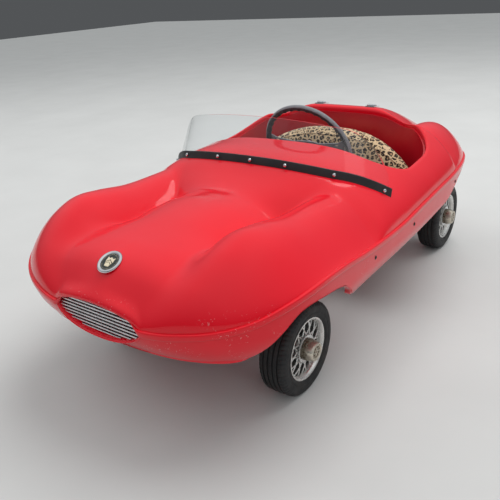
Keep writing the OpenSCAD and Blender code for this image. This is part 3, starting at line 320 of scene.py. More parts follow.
def slab(outer, inner, folded=False):
    """Points and faces of a closed sheet between two grids of points."""
    rows, cols = outer.shape[:2]
    n = rows * cols
    points = np.concatenate([outer.reshape(-1, 3), inner.reshape(-1, 3)])
    faces = grid_faces(rows, cols) + grid_faces(rows, cols, first=n)
    for r in (0, rows - 1):
        faces += [[r * cols + c, r * cols + c + 1, n + r * cols + c + 1, n + r * cols + c] for c in range(cols - 1)]
    if not folded:
        for c in (0, cols - 1):
            faces += [[r * cols + c, (r + 1) * cols + c, n + (r + 1) * cols + c, n + r * cols + c]
                      for r in range(rows - 1)]
    return points, faces


def lathe(profile, steps, wrap=True, ripple=None):
    """A profile of [radius, height] turned about Z; ripple(radius, height, angle) may change the radius."""
    profile = np.asarray(profile, float)
    turn = np.arange(steps) * 2 * PI / steps
    r = np.repeat(profile[None, :, 0], steps, 0)
    z = np.repeat(profile[None, :, 1], steps, 0)
    if ripple:
        r = ripple(r, z, turn[:, None])
    points = np.stack([r * np.cos(turn)[:, None], r * np.sin(turn)[:, None], z], -1)
    return points.reshape(-1, 3), grid_faces(steps, len(profile), wrap_rows=True, wrap_cols=wrap)


def rounded(points, radius, steps=4):
    """A closed profile with every corner rounded."""
    pts = np.asarray(points, float)
    n = len(pts)
    out = []
    for i in range(n):
        a, b, c = pts[i - 1], pts[i], pts[(i + 1) % n]
        r = radius[i] if hasattr(radius, "__len__") else radius
        ab, cb = a - b, c - b
        cut = min(r, 0.45 * np.linalg.norm(ab), 0.45 * np.linalg.norm(cb))
        p, q = b + ab / np.linalg.norm(ab) * cut, b + cb / np.linalg.norm(cb) * cut
        out += [(1 - t) ** 2 * p + 2 * t * (1 - t) * b + t * t * q for t in np.linspace(0, 1, steps)]
    return np.array(out)


def tube(path, radius, sides=12, closed=False):
    """A round tube along a path of points."""
    path = np.asarray(path, float)
    ahead = np.roll(path, -1, 0) - np.roll(path, 1, 0)
    if not closed:
        ahead[0], ahead[-1] = path[1] - path[0], path[-1] - path[-2]
    ahead /= np.linalg.norm(ahead, axis=1)[:, None]
    ref = np.array([0.02, 0.03, 1.0]) if abs(ahead[0][2]) < 0.8 else np.array([1.0, 0.03, 0.02])
    side = np.cross(ahead, ref)
    side /= np.linalg.norm(side, axis=1)[:, None]
    up = np.cross(side, ahead)
    a = np.arange(sides) * 2 * PI / sides
    ring = np.cos(a)[None, :, None] * side[:, None] + np.sin(a)[None, :, None] * up[:, None]
    points = path[:, None] + radius * ring
    faces = grid_faces(len(path), sides, wrap_rows=closed, wrap_cols=True)
    if not closed:
        faces += [list(range(sides))[::-1], [(len(path) - 1) * sides + i for i in range(sides)]]
    return points.reshape(-1, 3), faces


def block(lo, hi, edge=0.0):
    """A box with all its edges cut at 45 degrees."""
    lo, hi = np.asarray(lo, float), np.asarray(hi, float)
    work = bmesh.new()
    bmesh.ops.create_cube(work, size=1.0)
    for v in work.verts:
        v.co = Vector((lo + hi) / 2 + (hi - lo) * np.array(v.co))
    if edge:
        bmesh.ops.bevel(work, geom=list(work.edges), offset=edge, segments=2, affect="EDGES", profile=0.6)
    work.verts.ensure_lookup_table()
    points = np.array([v.co[:] for v in work.verts])
    faces = [[v.index for v in f.verts] for f in work.faces]
    work.free()
    return points, faces


def join(parts):
    """Several (points, faces) as one."""
    points, faces, n = [], [], 0
    for p, f in parts:
        points.append(np.asarray(p, float).reshape(-1, 3))
        faces += [[n + i for i in face] for face in f]
        n += len(points[-1])
    return np.concatenate(points), faces


def prism(edge, z0, z1):
    """A closed plan outline as an upright solid."""
    n = len(edge)
    points = [[x, y, z0] for x, y in edge] + [[x, y, z1] for x, y in edge]
    faces = [list(range(n))[::-1], [n + i for i in range(n)]]
    return np.array(points), faces + [[i, (i + 1) % n, n + (i + 1) % n, n + i] for i in range(n)]


def cut(obj, cutters):
    """Takes closed shapes, each (points, faces), out of a piece."""
    for points, faces in cutters:
        mesh = bpy.data.meshes.new("cutter")
        mesh.from_pydata((np.asarray(points) * MM).tolist(), [], faces)
        work = bmesh.new()
        work.from_mesh(mesh)
        bmesh.ops.recalc_face_normals(work, faces=work.faces)
        work.to_mesh(mesh)
        work.free()
        tool = bpy.data.objects.new("cutter", mesh)
        bpy.context.scene.collection.objects.link(tool)
        step = obj.modifiers.new("cut", "BOOLEAN")
        step.operation, step.solver, step.object = "DIFFERENCE", "MANIFOLD", tool
        baked(obj)
        bpy.data.objects.remove(tool)
    return obj


# ---------------------------------------------------------------- the body surface, as in the CAD part
SHELL = 5.0           # thickness of the mouldings
HALF_W = 336.0
FRONT_PLAN = (-360.0, -663.0, 2.9)    # start and end of the nose's arc in plan, and its fullness
REAR_PLAN = (200.0, 663.0, 2.3)
INSET = 120.0         # how far the spine of the surface stops short of the nose and the tail
MOUTH_Z, MOUTH_W, MOUTH_H = 253.0, 110.0, 31.0    # middle height and half sizes of the grille mouth
DROOP = 1.22          # how much deeper its lower half is
# Side views as [y, z]: belt line, middle of the deck, top of the wings and lower edge; CREST_X is [y, x].
BELT = [[-663, 253], [-640, 262], [-580, 278], [-517, 294], [-435, 303], [-360, 301], [-280, 292], [-190, 286],
        [-80, 284], [30, 291], [165, 299], [300, 305], [430, 303], [560, 288], [663, 272]]
CROWN = [[-663, 318], [-610, 349], [-560, 355], [-500, 359], [-420, 368], [-350, 373], [-300, 371], [-260, 371],
         [-215, 384], [-166, 405], [-110, 420], [-30, 424], [120, 436], [285, 452], [330, 446], [400, 424],
         [480, 394], [560, 366], [620, 345], [663, 330]]
CREST = [[-663, 352], [-600, 368], [-560, 384], [-530, 394], [-480, 403], [-425, 396], [-338, 382], [-235, 380],
         [-150, 381], [-60, 380], [60, 381], [180, 392], [270, 418], [330, 423], [400, 416], [450, 400], [520, 372],
         [600, 345], [663, 330]]
CREST_X = [[-663, 200], [-560, 222], [-400, 226], [-200, 232], [0, 236], [300, 240], [480, 226], [663, 150]]
SILL = [[-663, 198], [-640, 198], [-585, 199], [-555, 222], [-530, 246], [-487, 272], [-410, 270], [-355, 259],
        [-325, 239], [-305, 216], [-275, 206], [-230, 205], [-160, 206], [-50, 215], [158, 236], [215, 243],
        [270, 262], [330, 279], [474, 279], [570, 262], [620, 242], [663, 236]]


def smooth(t):
    """Soft step from 0 to 1."""
    t = np.clip(t, 0, 1)
    return t * t * (3 - 2 * t)


def along(profile, y):
    """Smooth curve through the points of a profile."""
    p = np.array(profile, float)
    slope = np.zeros(len(p))
    slope[1:-1] = (p[2:, 1] - p[:-2, 1]) / (p[2:, 0] - p[:-2, 0])
    y = np.clip(y, p[0, 0], p[-1, 0])
    i = np.clip(np.searchsorted(p[:, 0], y) - 1, 0, len(p) - 2)
    h = p[i + 1, 0] - p[i, 0]
    t = (y - p[i, 0]) / h
    return (p[i, 1] * (1 + 2 * t) * (1 - t) ** 2 + h * slope[i] * t * (1 - t) ** 2
            + p[i + 1, 1] * t * t * (3 - 2 * t) + h * slope[i + 1] * t * t * (t - 1))


def outline(u):
    """The plan outline: u is 0 at the nose and 3 at the tail, on the car's left side."""
    u = np.asarray(u, float)
    a, b = np.radians(90 * np.clip(u, 0, 1)), np.radians(90 * np.clip(3 - u, 0, 1))
    front = [HALF_W * np.sin(a) ** (2 / FRONT_PLAN[2]),
             FRONT_PLAN[0] + (FRONT_PLAN[1] - FRONT_PLAN[0]) * np.maximum(np.cos(a), 0) ** (2 / FRONT_PLAN[2])]
    rear = [HALF_W * np.sin(b) ** (2 / REAR_PLAN[2]),
            REAR_PLAN[0] + (REAR_PLAN[1] - REAR_PLAN[0]) * np.maximum(np.cos(b), 0) ** (2 / REAR_PLAN[2])]
    middle = FRONT_PLAN[0] + (u - 1) * (REAR_PLAN[0] - FRONT_PLAN[0])
    return (np.where(u < 1, front[0], np.where(u <= 2, HALF_W, rear[0])),
            np.where(u < 1, front[1], np.where(u <= 2, middle, rear[1])))


def spine_y(u):
    """Where the ribs of the surface meet the middle line."""
    front = FRONT_PLAN[1] + INSET + (FRONT_PLAN[0] - FRONT_PLAN[1] - INSET) * np.clip(u, 0, 1) ** 1.5
    rear = REAR_PLAN[1] - INSET - (REAR_PLAN[1] - REAR_PLAN[0] - INSET) * np.clip(3 - u, 0, 1) ** 1.5
    middle = FRONT_PLAN[0] + (u - 1) * (REAR_PLAN[0] - FRONT_PLAN[0])
    return np.where(u < 1, front, np.where(u <= 2, middle, rear))


def side_exponent(u):
    """How squarely the deck turns down to the belt."""
    rear = np.where(u <= 2, 4.5, 2.6 + 1.9 * smooth(1.4 * (3 - u)))
    return np.where(u < 1, 2.2 + 2.3 * smooth(1.4 * u), rear)


def mouth(x, y):
    """Height of the open mouth above the belt line."""
    inside = (y < -500) & (np.abs(x) < MOUTH_W)
    return np.where(inside, MOUTH_H * np.sqrt(np.clip(1 - (x / MOUTH_W) ** 2, 0, 1)), 0)


def mouth_lift(x, y, v):
    """Height that the open mouth adds to the skin's edge; its corners soften quickly above the lip."""
    soft = np.where(y < -500, MOUTH_H * np.exp(-(x / 70) ** 2), 0)
    lip = mouth(x, y)
    return lip + (soft - lip) * smooth(v / 0.2)


def top_z(x, y):
    """Height of the deck before it turns down: a crown, a wing on each side and the blend between them."""
    x = np.abs(x)
    crown_w = 128 + 150 * smooth((y + 290) / 130) + 80 * smooth((-430 - y) / 120)
    tail = smooth((y - 262) / 50)
    crown = (along(CROWN, y) - (1 - tail) * (34 - 4 * smooth((y + 290) / 130)) * (x / crown_w) ** 2.6
             - tail * 220 * (np.maximum(0, x / crown_w - 0.32) / 0.68) ** 2)
    wing = along(CREST, y) - 72 * (np.abs(x - along(CREST_X, y)) / 100) ** 2
    k = 8 + 19 * smooth((y + 260) / 110) * (1 - 0.5 * tail) + 26 * smooth((-440 - y) / 100)
    h = np.clip(0.5 + (crown - wing) / (2 * k), 0, 1)
    return wing + (crown - wing) * h + k * h * (1 - h)


def skin_grid(us, vs, shrink=0.0, drop=0.0):
    """Both sides of the upper skin: rows run from the left belt over the middle to the right belt."""
    u, v = np.meshgrid(us, vs, indexing="xy")
    ox, oy = outline(u)
    sy = spine_y(u)
    reach = np.hypot(ox, oy - sy)
    k = (1 - v) * (1 - shrink / reach)
    x, y = ox * k, sy + (oy - sy) * k
    edge = along(BELT, oy) + mouth_lift(ox, oy, v)
    fall = np.sqrt(np.clip(1 - (1 - v) ** side_exponent(u), 0, 1))
    z = edge + (top_z(x, y) - edge) * fall - shrink * (0.35 + 0.65 * fall) * (v > 0) - drop
    left = np.stack([x, y, z], -1)
    right = left[-2::-1] * np.array([-1, 1, 1])
    return np.concatenate([left, right])


def deck_z(x, y):
    """Height of the upper skin above plan points."""
    x = np.maximum(np.abs(np.asarray(x, float)), 0.01)
    y = np.asarray(y, float)
    lo, hi = np.zeros_like(x), np.full_like(x, 3.0)
    for _ in range(34):
        m = (lo + hi) / 2
        ox, oy = outline(m)
        sy = spine_y(m)
        ahead = (y - sy) * ox - x * (oy - sy) > 0
        lo, hi = np.where(ahead, m, lo), np.where(ahead, hi, m)
    ox, oy = outline(lo)
    v = np.clip(1 - x / ox, 0, 1)
    edge = along(BELT, oy) + mouth_lift(ox, oy, v)
    return edge + (top_z(x, y) - edge) * np.sqrt(np.clip(1 - (1 - v) ** side_exponent(lo), 0, 1))


def normals_of(pts):
    """Outward direction at each point of a closed outline."""
    d = np.roll(pts, -1, 0) - np.roll(pts, 1, 0)
    n = np.stack([d[:, 1], -d[:, 0]], -1)
    return n / np.linalg.norm(n, axis=1)[:, None]


def grown(pts, d):
    """A closed outline moved outward by d."""
    return pts + d * normals_of(pts)


def even(pts, step):
    """The same closed outline with points at even spacing."""
    loop = np.concatenate([pts, pts[:1]])
    length = np.concatenate([[0], np.cumsum(np.linalg.norm(np.diff(loop, axis=0), axis=1))])
    at = np.linspace(0, length[-1], int(length[-1] / step) + 1)[:-1]
    return np.stack([np.interp(at, length, loop[:, 0]), np.interp(at, length, loop[:, 1])], -1)


def opened(loop):
    """The same loop of points, started after its widest gap."""
    gap = int(np.argmax(np.linalg.norm(np.diff(loop, axis=0), axis=1)))
    return np.concatenate([loop[gap + 1:], loop[:gap + 1]])


def arc(x, y, r, start, steps=24):
    """A quarter circle."""
    a = np.radians(start + np.linspace(0, 90, steps))
    return np.stack([x + r * np.cos(a), y + r * np.sin(a)], -1)


def cockpit_outline(grow=0.0):
    """Edge of the cockpit opening, grown on all sides."""
    w, y0, y1, r0, r1 = 286 + grow, -14 - grow, 282 + grow, 92 + grow, 128 + grow
    return np.concatenate([arc(w - r0, y0 + r0, r0, -90), arc(w - r1, y1 - r1, r1, 0), arc(r1 - w, y1 - r1, r1, 90),
                           arc(r0 - w, y0 + r0, r0, 180)])


LID_Y0, LID_LEN = 312.0, 248.0
LID_W0, LID_W1 = 122.0, 100.0     # half widths at the hinged edge and at the far edge
LID_R0, LID_R1 = 18.0, 34.0       # corner radii at the two edges


def lid_outline():
    """Edge of the boot lid: a tapered panel with round corners."""
    a = np.radians(np.linspace(0, 90, 16))
    t = np.concatenate([LID_R0 * (1 - np.cos(a)), np.linspace(LID_R0, LID_LEN - LID_R1, 20)[1:-1],
                        LID_LEN - LID_R1 * (1 - np.cos(a[::-1]))])
    near, far = np.clip(LID_R0 - t, 0, None), np.clip(t - LID_LEN + LID_R1, 0, None)
    w = (LID_W0 - (LID_W0 - LID_W1) * t / LID_LEN - (LID_R0 - np.sqrt(LID_R0 ** 2 - near ** 2))
         - (LID_R1 - np.sqrt(np.clip(LID_R1 ** 2 - far ** 2, 0, None))))
    return np.concatenate([np.stack([w, LID_Y0 + t], -1), np.stack([-w, LID_Y0 + t], -1)[::-1]])


def moulding(pts, section):
    """A section of [distance outside the outline, height above the deck] swept round an outline."""
    n = normals_of(pts)
    rows = []
    for d, h in section:
        p = pts + d * n
        rows.append(np.concatenate([p, (deck_z(p[:, 0], p[:, 1]) + h)[:, None]], 1))
    return np.stack(rows, 1).reshape(-1, 3), grid_faces(len(pts), len(section), True, True)


def curl(radius, depth, thick, steps=9):
    """A section that leaves the deck level, turns down round a radius and ends in a flange of that depth."""
    a = np.radians(np.linspace(0, 90, steps))
    top = [[radius * (1 - math.sin(t)), -radius * (1 - math.cos(t))] for t in a]
    return top + [[0, -depth], [thick, -depth], [thick, -radius - thick * 0.2], [radius + 0.5, -thick]]


# ---------------------------------------------------------------- bodywork
half_turn = 0.5 * (1 - np.cos(np.linspace(0, PI, 110)))
US = np.concatenate([half_turn[:-1], 1 + np.linspace(0, 1, 120)[:-1], 2 + half_turn])
VS = np.linspace(0, 1, 120) ** 1.6
cockpit = even(cockpit_outline(), 5)
lid = even(lid_outline(), 3)
ROLL = 9.0            # radius of the cockpit's rolled edge
LID_GAP = 3.2
BADGE_Y, BADGE_TILT = -608.0, 28
badge_turn = Matrix.Rotation(math.radians(BADGE_TILT), 3, "X")
badge_at = np.array([0, BADGE_Y, deck_z(0.0, BADGE_Y)])


def on_nose(points):
    """From the badge's own frame, +Z away from the nose, to the car's."""
    return np.asarray(points) @ np.array(badge_turn).T + badge_at


skin_points, skin_faces = slab(skin_grid(US, VS), skin_grid(US, VS, SHELL), folded=True)
skin = piece("upper_shell", skin_points, skin_faces, "car", "body_red", "upper_body", angle=50)
cut(skin, [prism(grown(cockpit, ROLL - 0.2), 200, 520), prism(grown(lid, LID_GAP + 1.4), 200, 520)])
settle(skin, "car", "body_red", angle=32)
rim_section = [[d - 1.6 * smooth(1 - d / ROLL), h] for d, h in curl(ROLL, 17, 3.0, 12)]
piece("cockpit_rim", *moulding(cockpit, rim_section), "car", "body_red", "upper_body")
gutter_section = [[LID_GAP + 1.5, 0], [LID_GAP + 0.9, -0.15], [LID_GAP + 0.3, -0.7], [LID_GAP, -1.6], [LID_GAP, -9],
                  [-8, -9], [-8, -11.5], [LID_GAP + 3, -11.5], [LID_GAP + 3, -3]]
piece("lid_gutter", *moulding(lid, gutter_section), "car", "body_red", "upper_body")


def loop_of(us):
    """Left side from nose to tail, then the right side back: (side, u)."""
    return np.concatenate([np.ones(len(us)), -np.ones(len(us) - 2)]), np.concatenate([us, us[-2:0:-1]])


def outward(u):
    """Outline point and outward direction."""
    ox, oy = outline(u)
    nx = ox / HALF_W
    ny = np.where(oy < 0, -1, 1) * np.sqrt(np.clip(1 - nx ** 3, 0, 1))
    size = np.hypot(nx, ny)
    return ox, oy, nx / size, ny / size


side, loop_u = loop_of(US)
ox, oy, ex, ey = outward(loop_u)
fade = np.clip(smooth((ox - MOUTH_W + 22) / 26) + (oy > 0), 0, 1)
belt = along(BELT, oy) + (1 - fade) * mouth(ox, oy)
rib_h = 6.5 * fade + 0.6 * (1 - fade)      # the rib fades out round the mouth
rib_rows = []
for a in np.radians(np.linspace(90, -90, 13)):
    c, s = abs(math.cos(a)) ** 0.4, math.copysign(abs(math.sin(a)) ** 0.8, math.sin(a))
    out = 5.0 * fade * c - 0.1
    rib_rows.append(np.stack([side * (ox + ex * out), oy + ey * out, belt + rib_h * s], -1))
for h in (-0.6, 0.9):
    rib_rows.append(np.stack([side * (ox - ex * 3), oy - ey * 3, belt + rib_h * h], -1))
piece("belt_rib", np.stack(rib_rows, 1), grid_faces(len(ox), len(rib_rows), True, True), "car", "body_red",
      "upper_body")

lower_t = np.linspace(0, 1, 22)


def lower_row(t, inset, lift=0.0):
    """A loop round the lower moulding: t is 0 under the belt and 1 at the sill."""
    top = along(BELT, oy) - DROOP * mouth(ox, oy) - 0.6
    z = top + (along(SILL, oy) - top) * t
    tuck = 22 * np.clip((MOUTH_Z - z) / 50, 0, 1) ** 2 + inset
    return np.stack([side * np.maximum(0, ox - ex * tuck), oy - ey * tuck, z + lift], -1)


lower_rows = [lower_row(t, 0) for t in lower_t[:-1]]
for a in np.radians(np.linspace(0, 90, 6)):
    lower_rows.append(lower_row(1, 3.5 * (1 - math.cos(a)), 3.5 * (1 - math.sin(a))))
lower_rows += [lower_row(1, 14, 0), lower_row(1, 14, 5)]
lower_rows += [lower_row(t, SHELL, 5 if t == 1 else 0) for t in lower_t[::-1]]
piece("lower_shell", np.stack(lower_rows, 1), grid_faces(len(ox), len(lower_rows), True, True), "car", "body_red",
      "lower_body", angle=40)

# rolled lip all round the grille mouth, turned inwards
turn = np.linspace(0, 2 * PI, 160, endpoint=False)
mouth_x = MOUTH_W * np.cos(turn)
us_fine = np.linspace(0, 1, 4000) ** 1.6
fine_x, fine_y = outline(us_fine)
mouth_y = np.interp(np.abs(mouth_x), fine_x, fine_y)
mouth_z = along(BELT, mouth_y) + MOUTH_H * np.sin(turn) * np.where(np.sin(turn) < 0, DROOP, 1)
lip = []
for r, back in [(-1.2, 0.0), (0.6, 0.2), (1.8, 1.2), (2.6, 3.0), (2.8, 6.0), (2.8, 30.0), (-0.5, 30.0),
                (-1.5, 6.0), (-3.0, 2.0)]:
    lip.append(np.stack([mouth_x - r * np.cos(turn), mouth_y + back, mouth_z - r * np.sin(turn)], -1))
piece("mouth_lip", np.stack(lip, 1), grid_faces(len(turn), len(lip), True, True), "car", "body_red", "lower_body")

# boot lid
centre = lid.mean(0)
inner_loop = grown(lid, -9.0)
rings = [(lid, -8.4)] + [(grown(lid, -2.2 * (1 - math.cos(a))), -0.6 - 2.2 * (1 - math.sin(a)))
                         for a in np.radians(np.linspace(0, 90, 6))]
rings += [(grown(lid, -d), -0.6) for d in (4.0, 6.5, 9.0)]
rings += [(centre + (inner_loop - centre) * k, -0.6) for k in np.linspace(1, 0.02, 34)[1:]]
under = [(centre + (inner_loop - centre) * k, -4.0) for k in np.linspace(0.02, 1, 10)] + [(grown(lid, -4.0), -8.4)]
rows = [np.concatenate([p, (deck_z(p[:, 0], p[:, 1]) + h)[:, None]], 1) for p, h in rings + under]
piece("boot_lid_panel", np.stack(rows, 0), grid_faces(len(rows), len(lid), True, True), "boot", "body_red",
      "boot_lid", angle=45)

# cockpit tub: curved side and rear wall, floor with a turned-down lip
floor_z = 180.0
wall = even(cockpit_outline(-2.2), 5)
start = int(np.argmax((wall[:, 1] < 80) & (wall[:, 0] < 0)))
wall = np.roll(wall, -start, 0)
wall = wall[wall[:, 1] > 80]
wall = opened(wall) if np.linalg.norm(np.diff(wall, axis=0), axis=1).max() > 40 else wall
step_in = np.stack([-(np.gradient(wall[:, 1])), np.gradient(wall[:, 0])], -1)
step_in /= np.linalg.norm(step_in, axis=1)[:, None]
tub_outer, tub_inner = [], []
for t in np.linspace(0, 1, 16):
    top = deck_z(wall[:, 0], wall[:, 1]) - 15
    z = floor_z - 3 + (top - floor_z + 3) * t
    tub_outer.append(np.concatenate([wall, z[:, None]], 1))
    corner = 14 * (1 - np.sqrt(np.clip(1 - (1 - np.clip((z - floor_z) / 14, 0, 1)) ** 2, 0, 1)))
    tub_inner.append(np.concatenate([wall + step_in * (4 + corner)[:, None], z[:, None]], 1))
tub = slab(np.stack(tub_outer), np.stack(tub_inner))
inside = even(cockpit_outline(-2.4), 6)
floor_loop = opened(inside[inside[:, 1] > 62])
piece("tub_walls", *tub, "car", "tub_red", "cockpit_tub")
lips = [block([x0, 62, floor_z - 22], [x1, 66, floor_z], 1.2) for x0, x1 in ((-256, 70), (98, 256))]
piece("tub_floor", *join([prism(floor_loop, floor_z - 4, floor_z)] + lips), "car", "tub_red", "cockpit_tub")


# ---------------------------------------------------------------- windscreen
SCREEN_W, SCREEN_H, LEAN = 306.0, 96.0, math.radians(20)


def strip_y(x):
    """The strip's middle line in plan."""
    return -167 + 87 * (np.abs(x) / SCREEN_W) ** 4


def strip_row(x, up, y_off):
    """A line along the strip, up its leaning face."""
    return np.stack([x, strip_y(x) + y_off + up * 0.30, deck_z(x, strip_y(x)) + up * 0.954], -1)


xs = SCREEN_W * np.sin(np.linspace(-1, 1, 90) * PI / 2) * 0.35 + SCREEN_W * np.linspace(-1, 1, 90) * 0.65
strip_section = rounded([[-1, -2], [17, -2], [17, 2], [-1, 2]], 0.9, 4)
strip_rows = np.stack([strip_row(xs * (1 - 0.005 * (y > 0)), up, y) for up, y in strip_section], 1)
piece("screen_strip", *loft(strip_rows), "car", "black_strip", "windscreen_strip")


def glass_row(x, t, off):
    """A line along the glass: t is 0 at its foot and 1 at its top edge."""
    full = SCREEN_H * np.clip(1 - np.clip((np.abs(x) - 215) / (SCREEN_W - 217), 0, 1) ** 3, 0, 1) ** 0.42
    h = full * t
    y = strip_y(x) + 5.2 + off + 3 * t + h * math.tan(LEAN) * (1 - 0.4 * (np.abs(x) / SCREEN_W) ** 2)
    return np.stack([x * (1 - 0.09 * h / SCREEN_H), y, deck_z(x, strip_y(x)) + 2 + h + x * x * 0.00004 * t], -1)


glass_x, glass_t = xs * 0.985, 2.5
faces_of_glass = [np.stack([glass_row(glass_x, t, off) for t in np.linspace(0, 1, 26)]) for off in (0, glass_t)]
piece("screen_glass", *slab(*faces_of_glass), "car", "clear_acrylic", "windscreen", angle=50)


# ---------------------------------------------------------------- grille and badge
BARS, BAR_DEPTH = 9, 14
grille_y = box_mm("grille_bars")[0][1]
bars, bar_pitch, grille_mid = [], (1 + DROOP) * MOUTH_H / (BARS + 0.6), MOUTH_Z + (1 - DROOP) / 2 * MOUTH_H
foot = MOUTH_Z - DROOP * MOUTH_H - 4
section = rounded([[0, -1.7], [0, 1.7], [BAR_DEPTH, 1.5], [BAR_DEPTH, -1.5]], [1.5, 1.5, 0.4, 0.4], 5)
for i in range(BARS):
    z = grille_mid + (i - (BARS - 1) // 2) * bar_pitch
    w = (MOUTH_W + 3) * math.sqrt(1 - ((z - MOUTH_Z) / (MOUTH_H * (DROOP if z < MOUTH_Z else 1) + 3)) ** 2)
    x = np.linspace(-w, w, 30)
    bars.append(loft(np.stack([np.stack([x, grille_y + y + 0 * x, z + dz + 0 * x], -1) for y, dz in section], 1)))
piece("grille_bar_set", *join(bars), "car", "grille_alloy", "grille_bars")
back = grille_y + BAR_DEPTH
fins = []
for x in np.arange(-101.5, 102, 7.0):
    h = (MOUTH_H + 1) * math.sqrt(1 - (x / (MOUTH_W + 2)) ** 2)
    fins.append(block([x - 0.9, back, foot], [x + 0.9, back + 3, MOUTH_Z + h]))
fins.append(block([-104, back + 3, foot], [104, back + 6, foot + 12], 0.8))
for x in (-84, 84):
    fins.append(block([x - 8, back + 6, foot], [x + 8, back + 40, foot + 3], 0.8))
piece("grille_fins", *join(fins), "car", "black_enamel_steel", "grille_struts", look=matt_black_and_shade)

bezel = rounded([[18, -1.4], [25, -1.4], [25, 0.6], [23.4, 2.4], [21.6, 2.8], [19.8, 2.2], [18, 1.0]], 0.6, 4)
p, f = lathe(bezel, 96)
piece("badge_ring", on_nose(p), f, "car", "chrome_trim", "nose_badge_bezel")


# enamel disc: a plain shield with two chevrons in a ring of ticks
radius = np.linspace(0.01, 17.9, 60)
angle = np.arange(144) * 2 * PI / 144
R, A = np.meshgrid(radius, angle, indexing="ij")
X, Y = R * np.cos(A), R * np.sin(A)
below = np.clip(-Y, 0, 12)
shield = smooth((9.2 - np.maximum(np.abs(X) * (1 + 0.02 * below) + 0.16 * below ** 1.25 * 0.9, 0)) / 0.8)
shield = shield * smooth((8.4 + 1.2 * np.cos(X * 0.7) - Y) / 0.8) * smooth((Y + 11.5) / 0.8)
chevron = sum(smooth((half - np.abs(Y + drop + np.abs(X) * 0.75)) / 0.6) for half, drop in ((1.3, -3.5), (1.0, 1.1)))
ticks = 0.55 * smooth((np.cos(A * 36) - 0.2) / 0.4) * smooth((R - 14.6) / 0.5) * smooth((17.2 - R) / 0.5)
height = np.clip(shield * (1 - 0.85 * np.clip(chevron, 0, 1)) + ticks, 0, 1)
p, f = np.stack([X, Y, 0.2 + 1.3 * height], -1).reshape(-1, 3), grid_faces(len(radius), len(angle), False, True)
piece("badge_disc", on_nose(p), f, "car", "badge_enamel", "nose_badge_face", relief=height, weld=False, angle=60)


# ---------------------------------------------------------------- steering wheel
RAKE = math.radians(20)
rim_lo, rim_hi = box_mm("steering_wheel_rim")
hub_at = (rim_lo + rim_hi) / 2


def in_column(points):
    """From the column's own frame, +Z to the driver and +Y down across it, to the car's."""
    p = np.asarray(points, float).reshape(-1, 3)
    c, s = math.cos(RAKE), math.sin(RAKE)
    return np.stack([p[:, 0], p[:, 1] * s + p[:, 2] * c, -p[:, 1] * c + p[:, 2] * s], -1) + hub_at


WHEEL_R = (rim_hi[0] - rim_lo[0]) / 2
ring, section = np.arange(288) * 2 * PI / 288, np.arange(28) * 2 * PI / 28
T, S = np.meshgrid(ring, section, indexing="ij")
grip = np.clip(0.5 - 0.5 * np.cos(S - 0.6) * 1.2, 0, 1)
wave = 0.5 + 0.5 * np.cos(T * 32)
radius = 8 - 1.7 * grip * (1 - wave ** 3)
major = WHEEL_R - 8 + radius * np.cos(S)
p = np.stack([major * np.cos(T), major * np.sin(T), radius * np.sin(S)], -1)
rim_look = Shader("rim_two_tone")
grip_height = rim_look.node("ShaderNodeAttribute", attribute_name="relief").outputs["Fac"]
two_tone = rim_look.mix(rim_look.span(grip_height, 0.42, 0.55), (0.21, 0.21, 0.225), (0.03, 0.03, 0.034))
rim_look.put(rim_look.bsdf.inputs["Base Color"], two_tone)
rim_look.put(rim_look.bsdf.inputs["Roughness"], rim_look.span(rim_look.noise(60.0, 4.0), 0.3, 0.7, 0.3, 0.5))
rim_look.bump(rim_look.noise(800.0), 0.15, 0.0004)
piece("wheel_rim", in_column(p), grid_faces(288, 28, True, True), "steering", "grey_plastic", "steering_wheel_rim",
      angle=60, look=rim_look.material, relief=grip)


def plate(name, outlines, z, thick, bevel, frame_of, body, slot, stands_for=(), look=None):
    """A flat plate cut to closed outlines, the first the edge and the rest holes, with its edges rounded."""
    curve = bpy.data.curves.new(name, "CURVE")
    curve.dimensions, curve.fill_mode = "2D", "BOTH"
    curve.extrude, curve.bevel_depth, curve.bevel_resolution = thick / 2 - bevel, bevel, 2
    for pts in outlines:
        spline = curve.splines.new("POLY")
        spline.points.add(len(pts) - 1)
        spline.points.foreach_set("co", [c for x, y in pts for c in (x, y, 0, 1)])
        spline.use_cyclic_u = True
    obj = bpy.data.objects.new(name, curve)
    bpy.context.scene.collection.objects.link(obj)
    graph = bpy.context.evaluated_depsgraph_get()
    mesh = bpy.data.meshes.new_from_object(obj.evaluated_get(graph))
    pts = np.array([v.co[:] for v in mesh.vertices]) + [0, 0, z]
    faces = [list(q.vertices) for q in mesh.polygons]
    bpy.data.objects.remove(obj)
    return piece(name, frame_of(pts), faces, body, slot, stands_for, look=look)


reach = WHEEL_R - 17
right_half = [[20, -21], [36, -17], [reach - 18, -24], [reach - 3, -33], [reach - 1.5, 0], [reach - 3, 30],
              [reach - 16, 17], [36, 13], [22, 22], [17, 44], [19, reach - 3]]
arm = [[-20, -21]] + right_half + [[0, reach - 0.5]] + [[-x, y] for x, y in right_half[:0:-1]]
arm = rounded(arm, 5.0, 5)


def oval(x, y, a, b, n=20):
    """An ellipse about a point."""
    t = np.arange(n) * 2 * PI / n
    return np.stack([x + a * np.cos(t), y + b * np.sin(t)], -1)


